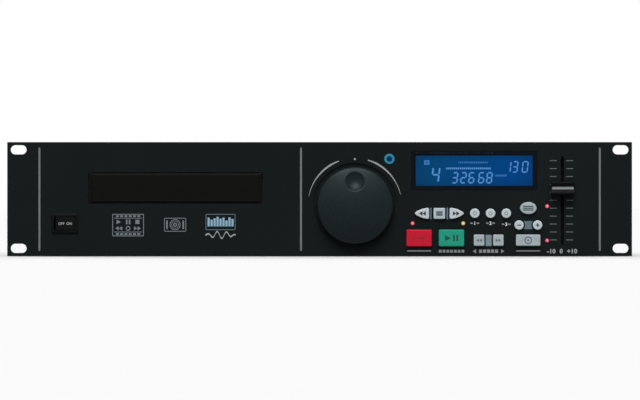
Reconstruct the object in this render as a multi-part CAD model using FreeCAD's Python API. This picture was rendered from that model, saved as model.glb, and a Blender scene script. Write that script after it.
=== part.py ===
"""Two-unit 19-inch rack disc player with a motor tray, a jog wheel and a pitch fader.

Millimetres. +Z up, +X to the right as seen by the user, the user stands at -Y.
Origin: the centre of the four rack slots, on the back face of the front panel, where it seats on the rack.
Each function below makes one sub-part, and the table at the end gives every sub-part its node name.
"""

import FreeCAD, Part

import math
import os

V = FreeCAD.Vector
X_AXIS = V(1, 0, 0)
Y_AXIS = V(0, 1, 0)
Z_AXIS = V(0, 0, 1)

# ---------------------------------------------------------------- shared clearances
RUN_GAP = 0.06  # radial gap of a shaft or wheel that turns on a pin
SLIDE_GAP = 0.3  # gap each side of a piece that slides
BUTTON_GAP = 0.3  # gap between a button and its hole in the panel
SEAT_GAP = 0.05  # gap between faces of two bodies that rest on each other
SHEET_GAP = 0.2  # gap between the nested walls of the cover and the base

# ---------------------------------------------------------------- front panel
PANEL_W = 482.6
PANEL_H = 88.1
PANEL_T = 4.0
PANEL_EDGE = 0.5  # chamfer round the front edge
RACK_SPACING_X = 465.1
RACK_SPACING_Z = 76.2
RACK_SLOT_L = 12.4
RACK_SLOT_H = 7.1
GROOVE_X = 216.4  # the two outer bright grooves
GROOVE_MID_X = -14.4  # the bright groove between tray and wheel
GROOVE_W = 1.5
GROOVE_L = 80.0
GROOVE_DEPTH = 0.5
FRONT = -PANEL_T

# ---------------------------------------------------------------- case
CASE_W = 430.0
CASE_DEPTH = 232.0
CASE_BOTTOM = -40.0
CASE_TOP = 42.0
SHEET_T = 1.2
BASE_FLANGE_H = 14.0
PANEL_TAB_W = 7.5
PANEL_TAB_D = 12.0
FRONT_LIP_H = 11.0
REAR_LIP_D = 11.0
FOOT_H = 4.4
FOOT_R = 9.5
FOOT_INSET_X = 30.0
FOOT_INSET_Y = 25.0
FOOT_POCKET_R = 4.2
FOOT_POCKET_DEPTH = 2.4
VENT_W = 2.5
VENT_L = 32.0
VENT_PITCH = 7.0
SIDE_VENTS = 12
TOP_VENTS = 14
FLOOR = CASE_BOTTOM + SHEET_T
COVER_IN_X = CASE_W / 2 - SHEET_T
BASE_X = COVER_IN_X - SHEET_GAP
REAR = CASE_DEPTH - SHEET_GAP

# ---------------------------------------------------------------- screws (M3 pan head)
SCREW_R = 1.45
SCREW_HOLE_R = 1.5
SCREW_HEAD_R = 2.75
SCREW_HEAD_H = 1.8
CROSS_L = 3.2
CROSS_W = 0.7
CROSS_DEPTH = 1.0

# ---------------------------------------------------------------- disc tray and loader, about the tray's centre line
TRAY_X = -111.2
TRAY_Z = 8.7  # height of the tray front's centre
TRAY_FACE_W = 134.0
TRAY_FACE_H = 23.2
TRAY_FACE_GAP = 0.6
TRAY_FACE_PROUD = 1.2
TRAY_FACE_T = 4.2
TRAY_FACE_CHAMFER = 1.5  # depth of the slopes round the front
TRAY_FACE_END_SLOPE = 3.8  # width of the slopes at its two ends
TRAY_TRAVEL = 138.0
TRAY_W = 126.0
TRAY_PLATE_T = 5.0
TRAY_TOP = TRAY_Z + 3.1
TRAY_BOTTOM = TRAY_TOP - TRAY_PLATE_T
TRAY_LENGTH = 168.0
TRAY_FLANGE_W = 1.4
TRAY_FLANGE_T = 2.5
TRAY_SLOT_W = 36.0
DISC_R = 60.0
DISC_T = 1.2
SMALL_DISC_R = 40.0
DISC_MARGIN = 0.6
RECESS_DEPTH = 3.0
SMALL_RECESS_DEPTH = 0.8
FINGER_NOTCH_R = 9.0
DISC_Y = 72.0  # centre of the disc with the tray closed
LOADER_FRONT = 3.0
LOADER_REAR = 186.0
LOADER_WALL = 4.4
LOADER_BOTTOM = -12.0
LOADER_DECK_T = 2.5
LOADER_TOP = 14.0
DECK_REAR_START = 162.0
GUIDE_W = 5.0
GUIDE_T = 2.0
BRIDGE_W = 44.0
BRIDGE_T = 1.0
CLAMPER_NECK_R = 11.5
CLAMPER_FLANGE_R = 15.0
CLAMPER_FLANGE_T = 2.0
CLAMPER_CAVITY_R = 8.2
CLAMPER_CAVITY_DEPTH = 2.2
BRACKET_T = 1.2
BRACKET_FOOT_W = 12.0
BRACKET_START = 34.0
BRACKET_END = 156.0

# ---------------------------------------------------------------- gears of the loader
BACKLASH = 0.16
PRESSURE_ANGLE = math.radians(20)
ADDENDUM = 0.8  # stub teeth, as a share of the module
DEDENDUM = 1.15
RACK_MODULE = 1.0
TRAY_GEAR_TEETH = 20
WHEEL_MODULE = 0.8
TRAY_WHEEL_TEETH = 40
LOADING_PINION_TEETH = 12
GEAR_Y = 22.0
RACK_PITCH_X = -50.0  # pitch line of the tray's rack, from the tray's centre line
RACK_BAR_W = 3.0
RACK_H = 5.0
RACK_START = 10.0
TRAY_GEAR_PIN_R = 2.0
PULLEY_PIN_R = 1.5
PULLEY_GROOVE_R = 9.4
PULLEY_FLANGE_R = 11.0
MOTOR_PULLEY_GROOVE_R = 3.4
MOTOR_PULLEY_FLANGE_R = 5.0
MOTOR_PULLEY_X = 18.0
PULLEY_H = 4.0
BELT_T = 1.4
BELT_GAP = 0.06
LOADING_MOTOR_R = 10.5
LOADING_MOTOR_H = 18.0
MOTOR_SHAFT_R = 1.0

# ---------------------------------------------------------------- lift frame and pickup
LIFT_HINGE_Y = 165.0
LIFT_HINGE_Z = -7.0
LIFT_ANGLE = 3.5  # degrees that the lift frame drops before the tray opens
LIFT_FRONT = 47.0
LIFT_REAR = 160.0
LIFT_W = 96.0
LIFT_WALL = 4.0
LIFT_BOTTOM = -10.0
LIFT_H = 6.0
LIFT_PIN_R = 2.0
CAM_TRAVEL = 12.0
CAM_PIN_R = 1.5
CAM_SLOT_GAP = 0.35
CAM_T = 2.0
CAM_GAP = 0.6  # between the cam plate and the lift frame
CAM_DECK_GAP = 0.4  # between the cam plate and the deck's edge
CHASSIS_PLATE_W = 82.0
CHASSIS_PLATE_T = 1.5
CHASSIS_PLATE_Z = -3.0
CHASSIS_FRONT = 54.0
CHASSIS_REAR = 153.0
DAMPER_R = 4.0
DAMPER_NECK_R = 2.4
DAMPER_PAD = 10.0
SPINDLE_MOTOR_R = 12.0
SPINDLE_MOTOR_H = 8.0
HUB_R = 15.0
HUB_T = 2.0
HUB_BOSS_R = 6.0
HUB_CONE_R = 7.4
HUB_CONE_H = 1.5
HUB_LIFT = 2.9  # height of the hub's disc seat over the tray's recess in the play position
ROD_R = 1.5
ROD_X = 22.5
ROD_Z = 2.0
ROD_HOLDER_T = 3.0
SLED_W = 53.0
SLED_L = 26.0
SLED_BOTTOM = -0.8
SLED_TOP = 5.0
SLED_OPTICS_W = 32.0
SLED_OPTICS_DEPTH = 8.0
SLED_TRAVEL = 34.0
SLED_OPENING_W = 37.0
LENS_START = 24.0  # distance of the lens from the disc's centre at the start
LENS_R = 3.0
LENS_HOUSING_W = 20.0
LENS_FOCUS = 0.4
SLED_RACK_MODULE = 0.8
SLED_GEAR_TEETH = 12
SLED_WHEEL_MODULE = 0.5
SLED_WHEEL_TEETH = 36
SLED_PINION_TEETH = 12
SLED_RACK_X = -32.0
SLED_RACK_L = 41.0
SLED_RACK_H = 3.0
SLED_PIN_R = 1.0
SLED_MOTOR_R = 6.5
SLED_MOTOR_H = 11.0

# ---------------------------------------------------------------- jog wheel
JOG_X = 27.2
JOG_Z = -4.7
JOG_R = 29.6
JOG_PROUD = 14.0
JOG_DOME = 5.0  # how far the middle of its face stands out over the rim, before the rim is rounded
JOG_EDGE_R = 3.2
JOG_SHELL = 3.0
JOG_FACE_T = 7.0
JOG_HUB_R = 7.0
JOG_RECESS_R = 32.6
JOG_RECESS_DEPTH = 1.2
JOG_BACK_GAP = 0.5
DIMPLE_OFFSET = 18.2
DIMPLE_R = 8.2
DIMPLE_DEPTH = 3.0
DIMPLE_LIP = 1.6
JOG_SHAFT_R = 3.0
JOG_SHAFT_L = 19.9
BUSHING_R = 4.8
ENCODER_W = 26.0

# ---------------------------------------------------------------- buttons
BUTTON_PROUD = 2.4
BUTTON_EDGE = 0.7
BUTTON_TRAVEL = 1.0
BUTTON_FLANGE = 1.0  # how far the flange behind the panel reaches past the cap
BUTTON_FLANGE_T = 1.0
BUTTON_STEM_R = 1.5
SWITCH_W = 6.0
SWITCH_H = 4.0
SWITCH_PLUNGER_R = 1.5
SWITCH_PLUNGER_H = 1.0
BUTTON_CORNER = 0.9

TRANSPORT_X = 92.4  # the group of skip, centre and skip
TRANSPORT_Z = -11.1
TRANSPORT_PITCH = 13.7
SKIP_L = 11.7
SKIP_CORNER = 1.2
SKIP_H = 8.7
STOP_W = 9.0
STOP_H = 8.6
MODE_X = 119.8  # the first of the three round buttons
MODE_Z = -11.0
MODE_PITCH = 12.15
MODE_R = 3.7
MENU_X = 161.1
MENU_Z = -7.0
MENU_W = 12.8
MENU_H = 9.4
BEND_X = 161.1  # the middle of the minus and plus pair
BEND_Z = -20.1
BEND_PITCH = 14.3
BEND_R = 3.65
LARGE_Z = -30.1  # the two large buttons
CUE_X = 76.8
PLAY_X = 101.8
LARGE_W = 19.6
LARGE_H = 13.0
LARGE_CORNER = 1.2
SEARCH_X = 130.5  # the middle of the search pair
SEARCH_Z = -31.8
SEARCH_PITCH = 14.9
SEARCH_W = 8.2
SEARCH_H = 8.8
PITCH_X = 161.0
PITCH_W = 18.8
EJECT_X = 53.9
EJECT_Z = 31.1
EJECT_RING_R = 3.9
EJECT_R = 2.1
EJECT_RING_PROUD = 0.8
EJECT_PROUD = 1.6

# ---------------------------------------------------------------- display
DISPLAY_X = 119.4
DISPLAY_Z = 22.0
DISPLAY_W = 97.4
DISPLAY_H = 30.6
DISPLAY_VIEW_W = 90.2
DISPLAY_VIEW_H = 23.2
DISPLAY_GAP = 0.2
DISPLAY_SUNK = 0.4  # front of the frame behind the panel's front
DISPLAY_WALL = 1.5
DISPLAY_FRONT_T = 1.2
DISPLAY_BEVEL = 1.0
GLASS_T = 1.8

# ---------------------------------------------------------------- lamps
LAMP_R = 1.5
LAMP_PROUD = 0.9
LAMP_FLANGE_R = 1.9
LAMP_LEAD = 0.5
LAMP_ROW_Z = -18.7
CUE_LAMP_X = 71.8
PLAY_LAMP_X = 110.9
FADER_LAMP_X = 175.7
FADER_LAMP_HIGH_Z = -5.5
FADER_LAMP_LOW_Z = -32.0

# ---------------------------------------------------------------- pitch fader
FADER_X = 187.4
FADER_Z = -1.5  # middle of the fader's travel
FADER_REST = 10.0  # how far over the middle the cap stands
FADER_TRAVEL = 60.0
FADER_SLOT_W = 2.8
FADER_LEVER_W = 1.2
FADER_LEVER_H = 4.0
FADER_CAP_W = 17.8
FADER_CAP_H = 9.8
FADER_CAP_T = 8.0
FADER_CAP_LIFT = 1.0
FADER_CAP_SCOOP = 1.6
FADER_CAP_EDGE = 0.8
FADER_SOCKET_D = 4.5  # how deep the lever stands in the cap
FADER_BODY_W = 12.0
FADER_BODY_L = 74.0
FADER_BODY_FRONT = 0.6
FADER_SLIDER_W = 6.0
FADER_SLIDER_L = 7.0
FADER_SLIDER_T = 3.0
FADER_SLIDER_Y = 3.5  # where the slider's front face runs

# ---------------------------------------------------------------- power switch
POWER_X = -196.8
POWER_Z = -18.6
POWER_BEZEL_W = 20.4
POWER_BEZEL_H = 15.0
POWER_BEZEL_PROUD = 1.5
POWER_BODY_W = 18.0
POWER_BODY_H = 12.8
POWER_BODY_DEPTH = 16.0
ROCKER_W = 15.0
ROCKER_SIDE_GAP = 0.8
ROCKER_H = 10.0
ROCKER_PIVOT_Y = -2.0
ROCKER_REACH = 5.2  # how far the rocker's ends stand in front of the pivot
ROCKER_DIP = 1.3  # how much lower its middle is
ROCKER_TILT = 8.0
ROCKER_PIN_R = 1.0

# ---------------------------------------------------------------- boards and power supply
BOARD_T = 1.6
CONTROL_BOARD_Y = 10.0
CONTROL_BOARD_LEFT = -10.0
CONTROL_BOARD_RIGHT = 203.0
CONTROL_BOARD_H = 76.0
STANDOFF_R = 2.6
MAIN_BOARD_X = 40.0
MAIN_BOARD_REAR_GAP = 16.8
MAIN_BOARD_W = 126.0
MAIN_BOARD_L = 150.0
MAIN_STANDOFF_H = 8.0
MAIN_HOLE_INSET = 5.0
TRANSFORMER_X = 162.0
TRANSFORMER_INLET_GAP = 19.8
CORE_W = 57.0
CORE_D = 28.0
CORE_H = 48.0
COIL_D = 46.0
COIL_H = 28.0
COIL_CORNER = 3.0
STRAP_T = 1.5
STRAP_W = 16.0
STRAP_TAB = 10.0
PROCESSOR_W = 20.0
DRIVER_W = 14.0
MEMORY_L = 14.0
MEMORY_W = 7.0
CHIP_T = 1.8
HEADER_L = 38.0
HEADER_W = 6.0
HEADER_H = 7.0
CAPACITOR_COUNT = 4
CAPACITOR_PITCH = 15.0
BIG_CAPACITOR_R = 5.0
BIG_CAPACITOR_H = 16.0
SMALL_CAPACITOR_R = 3.1
SMALL_CAPACITOR_H = 11.0
SINK_W = 20.0
SINK_T = 3.0
SINK_H = 26.0
FIN_COUNT = 5
FIN_T = 1.4
FIN_L = 12.0

# ---------------------------------------------------------------- rear connectors
INLET_X = 165.0
INLET_Z = 2.0
INLET_FLANGE_W = 50.0
INLET_FLANGE_H = 24.0
INLET_FLANGE_T = 2.5
INLET_BODY_W = 28.0
INLET_BODY_H = 20.5
INLET_DEPTH = 24.0
SOCKET_W = 24.6
SOCKET_H = 16.6
SOCKET_DEPTH = 16.5
SOCKET_CORNER = 4.0
INLET_SCREW_SPACING = 40.0
BLADE_W = 2.0
BLADE_H = 4.0
BLADE_SPACING = 14.0
BLADE_RISE = 2.0
AUDIO_X = 20.0  # the first of the three coaxial sockets
AUDIO_Z = -22.0
AUDIO_PITCH = 20.0
AUDIO_COUNT = 3
AUDIO_R = 4.15
AUDIO_L = 8.2
AUDIO_COLLAR_R = 6.2
AUDIO_COLLAR_T = 1.5
AUDIO_HOLE_R = 1.65
AUDIO_BODY_D = 12.0
START_X = 85.0
START_R = 1.8
START_L = 14.0
START_BARREL_R = 3.9
START_BARREL_L = 3.5


# ================================================================ helpers
def box(x0, x1, y0, y1, z0, z1):
    """A block between two corners."""
    return Part.makeBox(x1 - x0, y1 - y0, z1 - z0, V(x0, y0, z0))


def block(cx, cz, w, h, y0, y1):
    """A block centred on (cx, cz) that runs from y0 to y1."""
    return box(cx - w / 2, cx + w / 2, y0, y1, cz - h / 2, cz + h / 2)


def rod_x(y, z, r, x0, x1):
    return Part.makeCylinder(r, x1 - x0, V(x0, y, z), X_AXIS)


def rod_y(x, z, r, y0, y1):
    return Part.makeCylinder(r, y1 - y0, V(x, y0, z), Y_AXIS)


def rod_z(x, y, r, z0, z1):
    return Part.makeCylinder(r, z1 - z0, V(x, y, z0), Z_AXIS)


def cone_y(x, z, r0, r1, y0, y1):
    return Part.makeCone(r0, r1, y1 - y0, V(x, y0, z), Y_AXIS)


def cone_z(x, y, r0, r1, z0, z1):
    return Part.makeCone(r0, r1, z1 - z0, V(x, y, z0), Z_AXIS)


def join(*shapes):
    """One solid from several that touch."""
    return shapes[0].multiFuse(list(shapes[1:])).removeSplitter()


def cut(shape, *tools):
    return shape.cut(Part.makeCompound(list(tools)))


def arc(a, b, c):
    return Part.Arc(a, b, c).toShape()


def line(a, b):
    return Part.makeLine(a, b)


def rounded_rectangle(cx, cz, w, h, r):
    """A face in the plane y = 0 with round corners."""
    x0, x1, z0, z1 = cx - w / 2, cx + w / 2, cz - h / 2, cz + h / 2
    k = r * (1 - math.sqrt(0.5))
    edges = [arc(V(x0, 0, z1 - r), V(x0 + k, 0, z1 - k), V(x0 + r, 0, z1))]
    if w > 2 * r + 1e-6:
        edges.append(line(V(x0 + r, 0, z1), V(x1 - r, 0, z1)))
    edges.append(arc(V(x1 - r, 0, z1), V(x1 - k, 0, z1 - k), V(x1, 0, z1 - r)))
    if h > 2 * r + 1e-6:
        edges.append(line(V(x1, 0, z1 - r), V(x1, 0, z0 + r)))
    edges.append(arc(V(x1, 0, z0 + r), V(x1 - k, 0, z0 + k), V(x1 - r, 0, z0)))
    if w > 2 * r + 1e-6:
        edges.append(line(V(x1 - r, 0, z0), V(x0 + r, 0, z0)))
    edges.append(arc(V(x0 + r, 0, z0), V(x0 + k, 0, z0 + k), V(x0, 0, z0 + r)))
    if h > 2 * r + 1e-6:
        edges.append(line(V(x0, 0, z0 + r), V(x0, 0, z1 - r)))
    return Part.Face(Part.Wire(edges))


def disc_face(cx, cz, r):
    return Part.Face(Part.Wire([Part.Circle(V(cx, 0, cz), Y_AXIS, r).toShape()]))


def oval_face(cx, cz, w, h):
    oval = Part.Ellipse(V(w / 2, 0, 0), V(0, h / 2, 0), V(0, 0, 0)).toShape()
    oval.rotate(V(0, 0, 0), X_AXIS, 90)
    oval.translate(V(cx, 0, cz))
    return Part.Face(Part.Wire([oval]))


def pointed_face(cx, cz, length, h, side, grow):
    """A cap outline with a straight edge and a pointed end, which is to the left for side -1, with round corners."""
    half = h / 2
    radius = (length**2 + half**2) / h
    flat = cx - side * length / 2
    tip = V(cx + side * length / 2, 0, cz)
    bulge = half - radius + math.sqrt(radius**2 - length**2 / 4)
    top, bottom = V(flat, 0, cz + half), V(flat, 0, cz - half)
    edges = [arc(top, V(cx, 0, cz + bulge), tip), arc(tip, V(cx, 0, cz - bulge), bottom), line(bottom, top)]
    outline = Part.Face(Part.Wire(edges)).makeOffset2D(-SKIP_CORNER, 0, False, False, True)
    return outline.makeOffset2D(SKIP_CORNER + grow, 0, False, False, True)


def extrude(face, y0, y1):
    """The face, which lies in y = 0, as a solid from y0 to y1."""
    solid = face.extrude(V(0, y1 - y0, 0))
    solid.translate(V(0, y0, 0))
    return solid


def edges_at_y(shape, y):
    """The edges that lie wholly in the plane y."""
    return [e for e in shape.Edges if abs(e.BoundBox.YMin - y) < 1e-6 and abs(e.BoundBox.YMax - y) < 1e-6]


def edges_along(shape, axis):
    """The straight edges that run along an axis."""
    found = []
    for e in shape.Edges:
        if e.Curve.TypeId == "Part::GeomLine" and abs(abs(e.tangentAt(e.FirstParameter).dot(axis)) - 1) < 1e-6:
            found.append(e)
    return found


def turned(shape, centre, axis, degrees):
    copy = shape.copy()
    copy.rotate(centre, axis, degrees)
    return copy


def moved(shape, x, y, z):
    copy = shape.copy()
    copy.translate(V(x, y, z))
    return copy


# ---------------------------------------------------------------- gear teeth
def pitch_radius(module, teeth):
    return module * teeth / 2


def involute(angle):
    return math.tan(angle) - angle


def polar(r, angle):
    return V(r * math.cos(angle), r * math.sin(angle), 0)


def gear(module, teeth, tooth_angle, z0, z1):
    """A spur gear about the Z axis, with a tooth that points along tooth_angle (radians)."""
    pitch = pitch_radius(module, teeth)
    base = pitch * math.cos(PRESSURE_ANGLE)
    tip = pitch + ADDENDUM * module
    root = pitch - DEDENDUM * module
    start = max(base, root)
    half = (math.pi * module / 2 - BACKLASH) / (2 * pitch)

    def flank(r):
        return half + involute(PRESSURE_ANGLE) - involute(math.acos(min(1.0, base / r)))

    step = 2 * math.pi / teeth
    middle = (start + tip) / 2
    edges = []
    for k in range(teeth):
        a = tooth_angle + k * step
        if start > root:
            edges.append(line(polar(root, a - flank(start)), polar(start, a - flank(start))))
        rising = [polar(r, a - flank(r)) for r in (start, middle, tip)]
        falling = [polar(r, a + flank(r)) for r in (tip, middle, start)]
        edges.append(arc(*rising))
        edges.append(arc(rising[2], polar(tip, a), falling[0]))
        edges.append(arc(*falling))
        if start > root:
            edges.append(line(falling[2], polar(root, a + flank(start))))
        following = polar(root, a + step - flank(start))
        edges.append(arc(polar(root, a + flank(start)), polar(root, a + step / 2), following))
    wheel = Part.Face(Part.Wire(edges)).extrude(V(0, 0, z1 - z0))
    wheel.translate(V(0, 0, z0))
    return wheel


def rack(module, pitch_x, back_x, y0, y1, space_y, z0, z1):
    """A rack along Y whose teeth point from back_x past pitch_x, with a tooth space centred on space_y."""
    side = 1 if pitch_x > back_x else -1
    pitch = math.pi * module
    slope = math.tan(PRESSURE_ANGLE)
    half = pitch / 4 - BACKLASH / 2
    half_root = half + DEDENDUM * module * slope
    half_tip = half - ADDENDUM * module * slope
    root_x = pitch_x - side * DEDENDUM * module
    tip_x = pitch_x + side * ADDENDUM * module
    k = math.ceil((y0 + half_root - space_y) / pitch - 0.5)
    points = [V(back_x, y0, z0), V(root_x, y0, z0)]
    while space_y + (k + 0.5) * pitch + half_root <= y1:
        y = space_y + (k + 0.5) * pitch
        points += [V(root_x, y - half_root, z0), V(tip_x, y - half_tip, z0)]
        points += [V(tip_x, y + half_tip, z0), V(root_x, y + half_root, z0)]
        k += 1
    points += [V(root_x, y1, z0), V(back_x, y1, z0)]
    return Part.Face(Part.makePolygon(points + points[:1])).extrude(V(0, 0, z1 - z0))


# ---------------------------------------------------------------- screws
def screw(x, y, z, direction, length, cross=True):
    """A pan-head screw whose head seats at (x, y, z) and whose shank runs along direction."""
    dome = SCREW_HEAD_H / 3
    head = Part.makeCylinder(SCREW_HEAD_R, SCREW_HEAD_H - dome, V(0, 0, dome - SCREW_HEAD_H))
    crown = Part.makeCone(SCREW_HEAD_R * 0.7, SCREW_HEAD_R, dome, V(0, 0, -SCREW_HEAD_H))
    shank = Part.makeCylinder(SCREW_R, length, V(0, 0, 0))
    body = join(head, crown, shank)
    if cross:
        arm = Part.makeBox(CROSS_L, CROSS_W, CROSS_DEPTH, V(-CROSS_L / 2, -CROSS_W / 2, -SCREW_HEAD_H))
        body = cut(body, arm, turned(arm, V(0, 0, 0), Z_AXIS, 90))
    body.Placement = FreeCAD.Placement(V(x, y, z), FreeCAD.Rotation(Z_AXIS, direction))
    return body


def standoff_points():
    """Where the control board is held off the panel."""
    level = CONTROL_BOARD_H / 2 - 2.6
    left = CONTROL_BOARD_LEFT + 5
    right = FADER_X + FADER_BODY_W / 2 + STANDOFF_R + 3
    middle = JOG_X + JOG_RECESS_R + 1.5
    return [(x, side * level) for x in (left, middle, right) for side in (-1, 1)]


def panel_screw_points():
    """Where the base's front tabs and lip are screwed to the panel."""
    tab_x = BASE_X - SHEET_T - SCREW_HEAD_R - 0.3
    tabs = [(side * tab_x, z) for side in (-1, 1) for z in (CASE_BOTTOM + 9, CASE_TOP - 14)]
    lip_z = CASE_BOTTOM + FRONT_LIP_H / 2 + 1
    return tabs + [(TRAY_X - TRAY_W / 3, lip_z), (TRAY_X + TRAY_W / 3, lip_z)]


def foot_points():
    x = CASE_W / 2 - FOOT_INSET_X
    return [(side * x, y) for side in (-1, 1) for y in (FOOT_INSET_Y, CASE_DEPTH - FOOT_INSET_Y)]


def main_board_points():
    x = MAIN_BOARD_W / 2 - MAIN_HOLE_INSET
    y = MAIN_BOARD_L / 2 - MAIN_HOLE_INSET
    return [(MAIN_BOARD_X + sx * x, MAIN_BOARD_Y + sy * y) for sx in (-1, 1) for sy in (-1, 1)]


def bracket_floor_points():
    x = LOADER_OUT + BRACKET_T + BRACKET_FOOT_W / 2
    return [(TRAY_X + s * x, y) for s in (-1, 1) for y in (BRACKET_START + 8, BRACKET_END - 8)]


def bracket_side_points():
    return [(s, y) for s in (-1, 1) for y in (BRACKET_START + 8, BRACKET_END - 8)]


def bridge_points():
    x = LOADER_OUT - LOADER_WALL / 2
    return [(TRAY_X + s * x, DISC_Y + t * (BRIDGE_W / 2 - 5)) for s in (-1, 1) for t in (-1, 1)]


def cover_side_points():
    return [(s, y) for s in (-1, 1) for y in (40.0, CASE_DEPTH - 37)]


def cover_top_points():
    return [(x, REAR - REAR_LIP_D / 2) for x in (-0.35 * CASE_W, 0.0, 0.35 * CASE_W)]


def transformer_points():
    x = (CORE_W + STRAP_TAB) / 2
    return [(TRANSFORMER_X - x, TRANSFORMER_Y), (TRANSFORMER_X + x, TRANSFORMER_Y)]


def inlet_screw_points():
    return [(INLET_X + s * INLET_SCREW_SPACING / 2, INLET_Z) for s in (-1, 1)]


# ---------------------------------------------------------------- places worked out from the sizes above
MAIN_BOARD_Y = REAR - MAIN_BOARD_REAR_GAP - MAIN_BOARD_L / 2
TRANSFORMER_Y = REAR - INLET_DEPTH - TRANSFORMER_INLET_GAP - COIL_D / 2
JOG_DOME_R = (JOG_R**2 + JOG_DOME**2) / (2 * JOG_DOME)
TRAY_FLANGE_X = TRAY_W / 2 + TRAY_FLANGE_W
LOADER_IN = TRAY_FLANGE_X + 2 * SLIDE_GAP
LOADER_OUT = LOADER_IN + LOADER_WALL
CAM_FRONT = LIFT_FRONT - CAM_GAP - CAM_T
DECK_FRONT_END = CAM_FRONT - CAM_DECK_GAP
TRAY_OPENING_W = TRAY_FACE_W + 2 * TRAY_FACE_GAP
TRAY_OPENING_H = TRAY_FACE_H + 2 * TRAY_FACE_GAP
TRAY_FACE_BACK = FRONT - TRAY_FACE_PROUD + TRAY_FACE_T
RECESS_FLOOR = TRAY_TOP - RECESS_DEPTH
HUB_SEAT = RECESS_FLOOR + HUB_LIFT
DECK_TOP = LOADER_BOTTOM + LOADER_DECK_T
TRAY_GEAR_R = pitch_radius(RACK_MODULE, TRAY_GEAR_TEETH)
TRAY_GEAR_X = RACK_PITCH_X + TRAY_GEAR_R
TRAY_WHEEL_R = pitch_radius(WHEEL_MODULE, TRAY_WHEEL_TEETH)
LOADING_PINION_R = pitch_radius(WHEEL_MODULE, LOADING_PINION_TEETH)
PULLEY_X = TRAY_GEAR_X + TRAY_WHEEL_R + LOADING_PINION_R
PULLEY_Z = DECK_TOP + 0.5
WHEEL_Z = PULLEY_Z + PULLEY_H + 2.0
WHEEL_TOP = TRAY_BOTTOM - RACK_H - 1.2
GEAR_TOP = TRAY_BOTTOM - 0.6
CLAMPER_BOTTOM = TRAY_TOP + 0.6
BRIDGE_Z = LOADER_TOP
CHASSIS_TOP = CHASSIS_PLATE_Z + CHASSIS_PLATE_T
SLED_Y = DISC_Y + LENS_START
SLED_GEAR_R = pitch_radius(SLED_RACK_MODULE, SLED_GEAR_TEETH)
SLED_WHEEL_R = pitch_radius(SLED_WHEEL_MODULE, SLED_WHEEL_TEETH)
SLED_PINION_R = pitch_radius(SLED_WHEEL_MODULE, SLED_PINION_TEETH)
SLED_GEAR_X = SLED_RACK_X - SLED_GEAR_R
SLED_RACK_START = SLED_Y - SLED_L / 2 + 3
SLED_GEAR_Y = SLED_RACK_START + SLED_RACK_L - 4
SLED_RACK_Z = SLED_BOTTOM + 0.8
SLED_WHEEL_Z = SLED_RACK_Z + SLED_RACK_H + 0.6
PLUNGER_TIP = CONTROL_BOARD_Y - SWITCH_H - SWITCH_PLUNGER_H
STEM_END = PLUNGER_TIP - BUTTON_TRAVEL - 0.1
FADER_CAP_BACK = FRONT - FADER_CAP_LIFT
FADER_CAP_Z = FADER_Z + FADER_REST
FADER_SLOT_H = FADER_TRAVEL + FADER_LEVER_H + 6.0


# ================================================================ buttons
def button_outlines():
    """Every push button's name with a function that draws its outline, grown by a gap."""

    def rectangle(x, z, w, h, r):
        return lambda grow: rounded_rectangle(x, z, w + 2 * grow, h + 2 * grow, r + grow)

    def circle(x, z, r):
        return lambda grow: disc_face(x, z, r + grow)

    def pointed(x, side):
        return lambda grow: pointed_face(x, TRANSPORT_Z, SKIP_L, SKIP_H, side, grow)

    left, right = TRANSPORT_X - TRANSPORT_PITCH, TRANSPORT_X + TRANSPORT_PITCH
    outlines = {
        "skip_back_button": (left, TRANSPORT_Z, pointed(left, -1)),
        "skip_forward_button": (right, TRANSPORT_Z, pointed(right, 1)),
        "stop_button": (TRANSPORT_X, TRANSPORT_Z, rectangle(TRANSPORT_X, TRANSPORT_Z, STOP_W, STOP_H, BUTTON_CORNER)),
        "menu_button": (MENU_X, MENU_Z, lambda grow: oval_face(MENU_X, MENU_Z, MENU_W + 2 * grow, MENU_H + 2 * grow)),
        "cue_button": (CUE_X, LARGE_Z, rectangle(CUE_X, LARGE_Z, LARGE_W, LARGE_H, LARGE_CORNER)),
        "play_button": (PLAY_X, LARGE_Z, rectangle(PLAY_X, LARGE_Z, LARGE_W, LARGE_H, LARGE_CORNER)),
        "pitch_button": (PITCH_X, SEARCH_Z, rectangle(PITCH_X, SEARCH_Z, PITCH_W, SEARCH_H, BUTTON_CORNER)),
    }
    for number in range(3):
        x = MODE_X + number * MODE_PITCH
        outlines[f"mode_button_{number + 1}"] = (x, MODE_Z, circle(x, MODE_Z, MODE_R))
    for name, side in (("minus", -1), ("plus", 1)):
        x = BEND_X + side * BEND_PITCH / 2
        outlines[f"bend_{name}_button"] = (x, BEND_Z, circle(x, BEND_Z, BEND_R))
    for name, side in (("back", -1), ("forward", 1)):
        x = SEARCH_X + side * SEARCH_PITCH / 2
        shape = rectangle(x, SEARCH_Z, SEARCH_W, SEARCH_H, BUTTON_CORNER)
        outlines[f"search_{name}_button"] = (x, SEARCH_Z, shape)
    return outlines


def button(x, z, outline):
    """A cap through the panel, with a retaining flange behind it and a stem to its switch."""
    cap = extrude(outline(0), FRONT - BUTTON_PROUD, SEAT_GAP)
    cap = cap.makeFillet(BUTTON_EDGE, edges_at_y(cap, FRONT - BUTTON_PROUD))
    flange = extrude(outline(BUTTON_FLANGE), SEAT_GAP, SEAT_GAP + BUTTON_FLANGE_T)
    stem = rod_y(x, z, BUTTON_STEM_R, SEAT_GAP + BUTTON_FLANGE_T, STEM_END)
    return join(cap, flange, stem)


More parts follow.
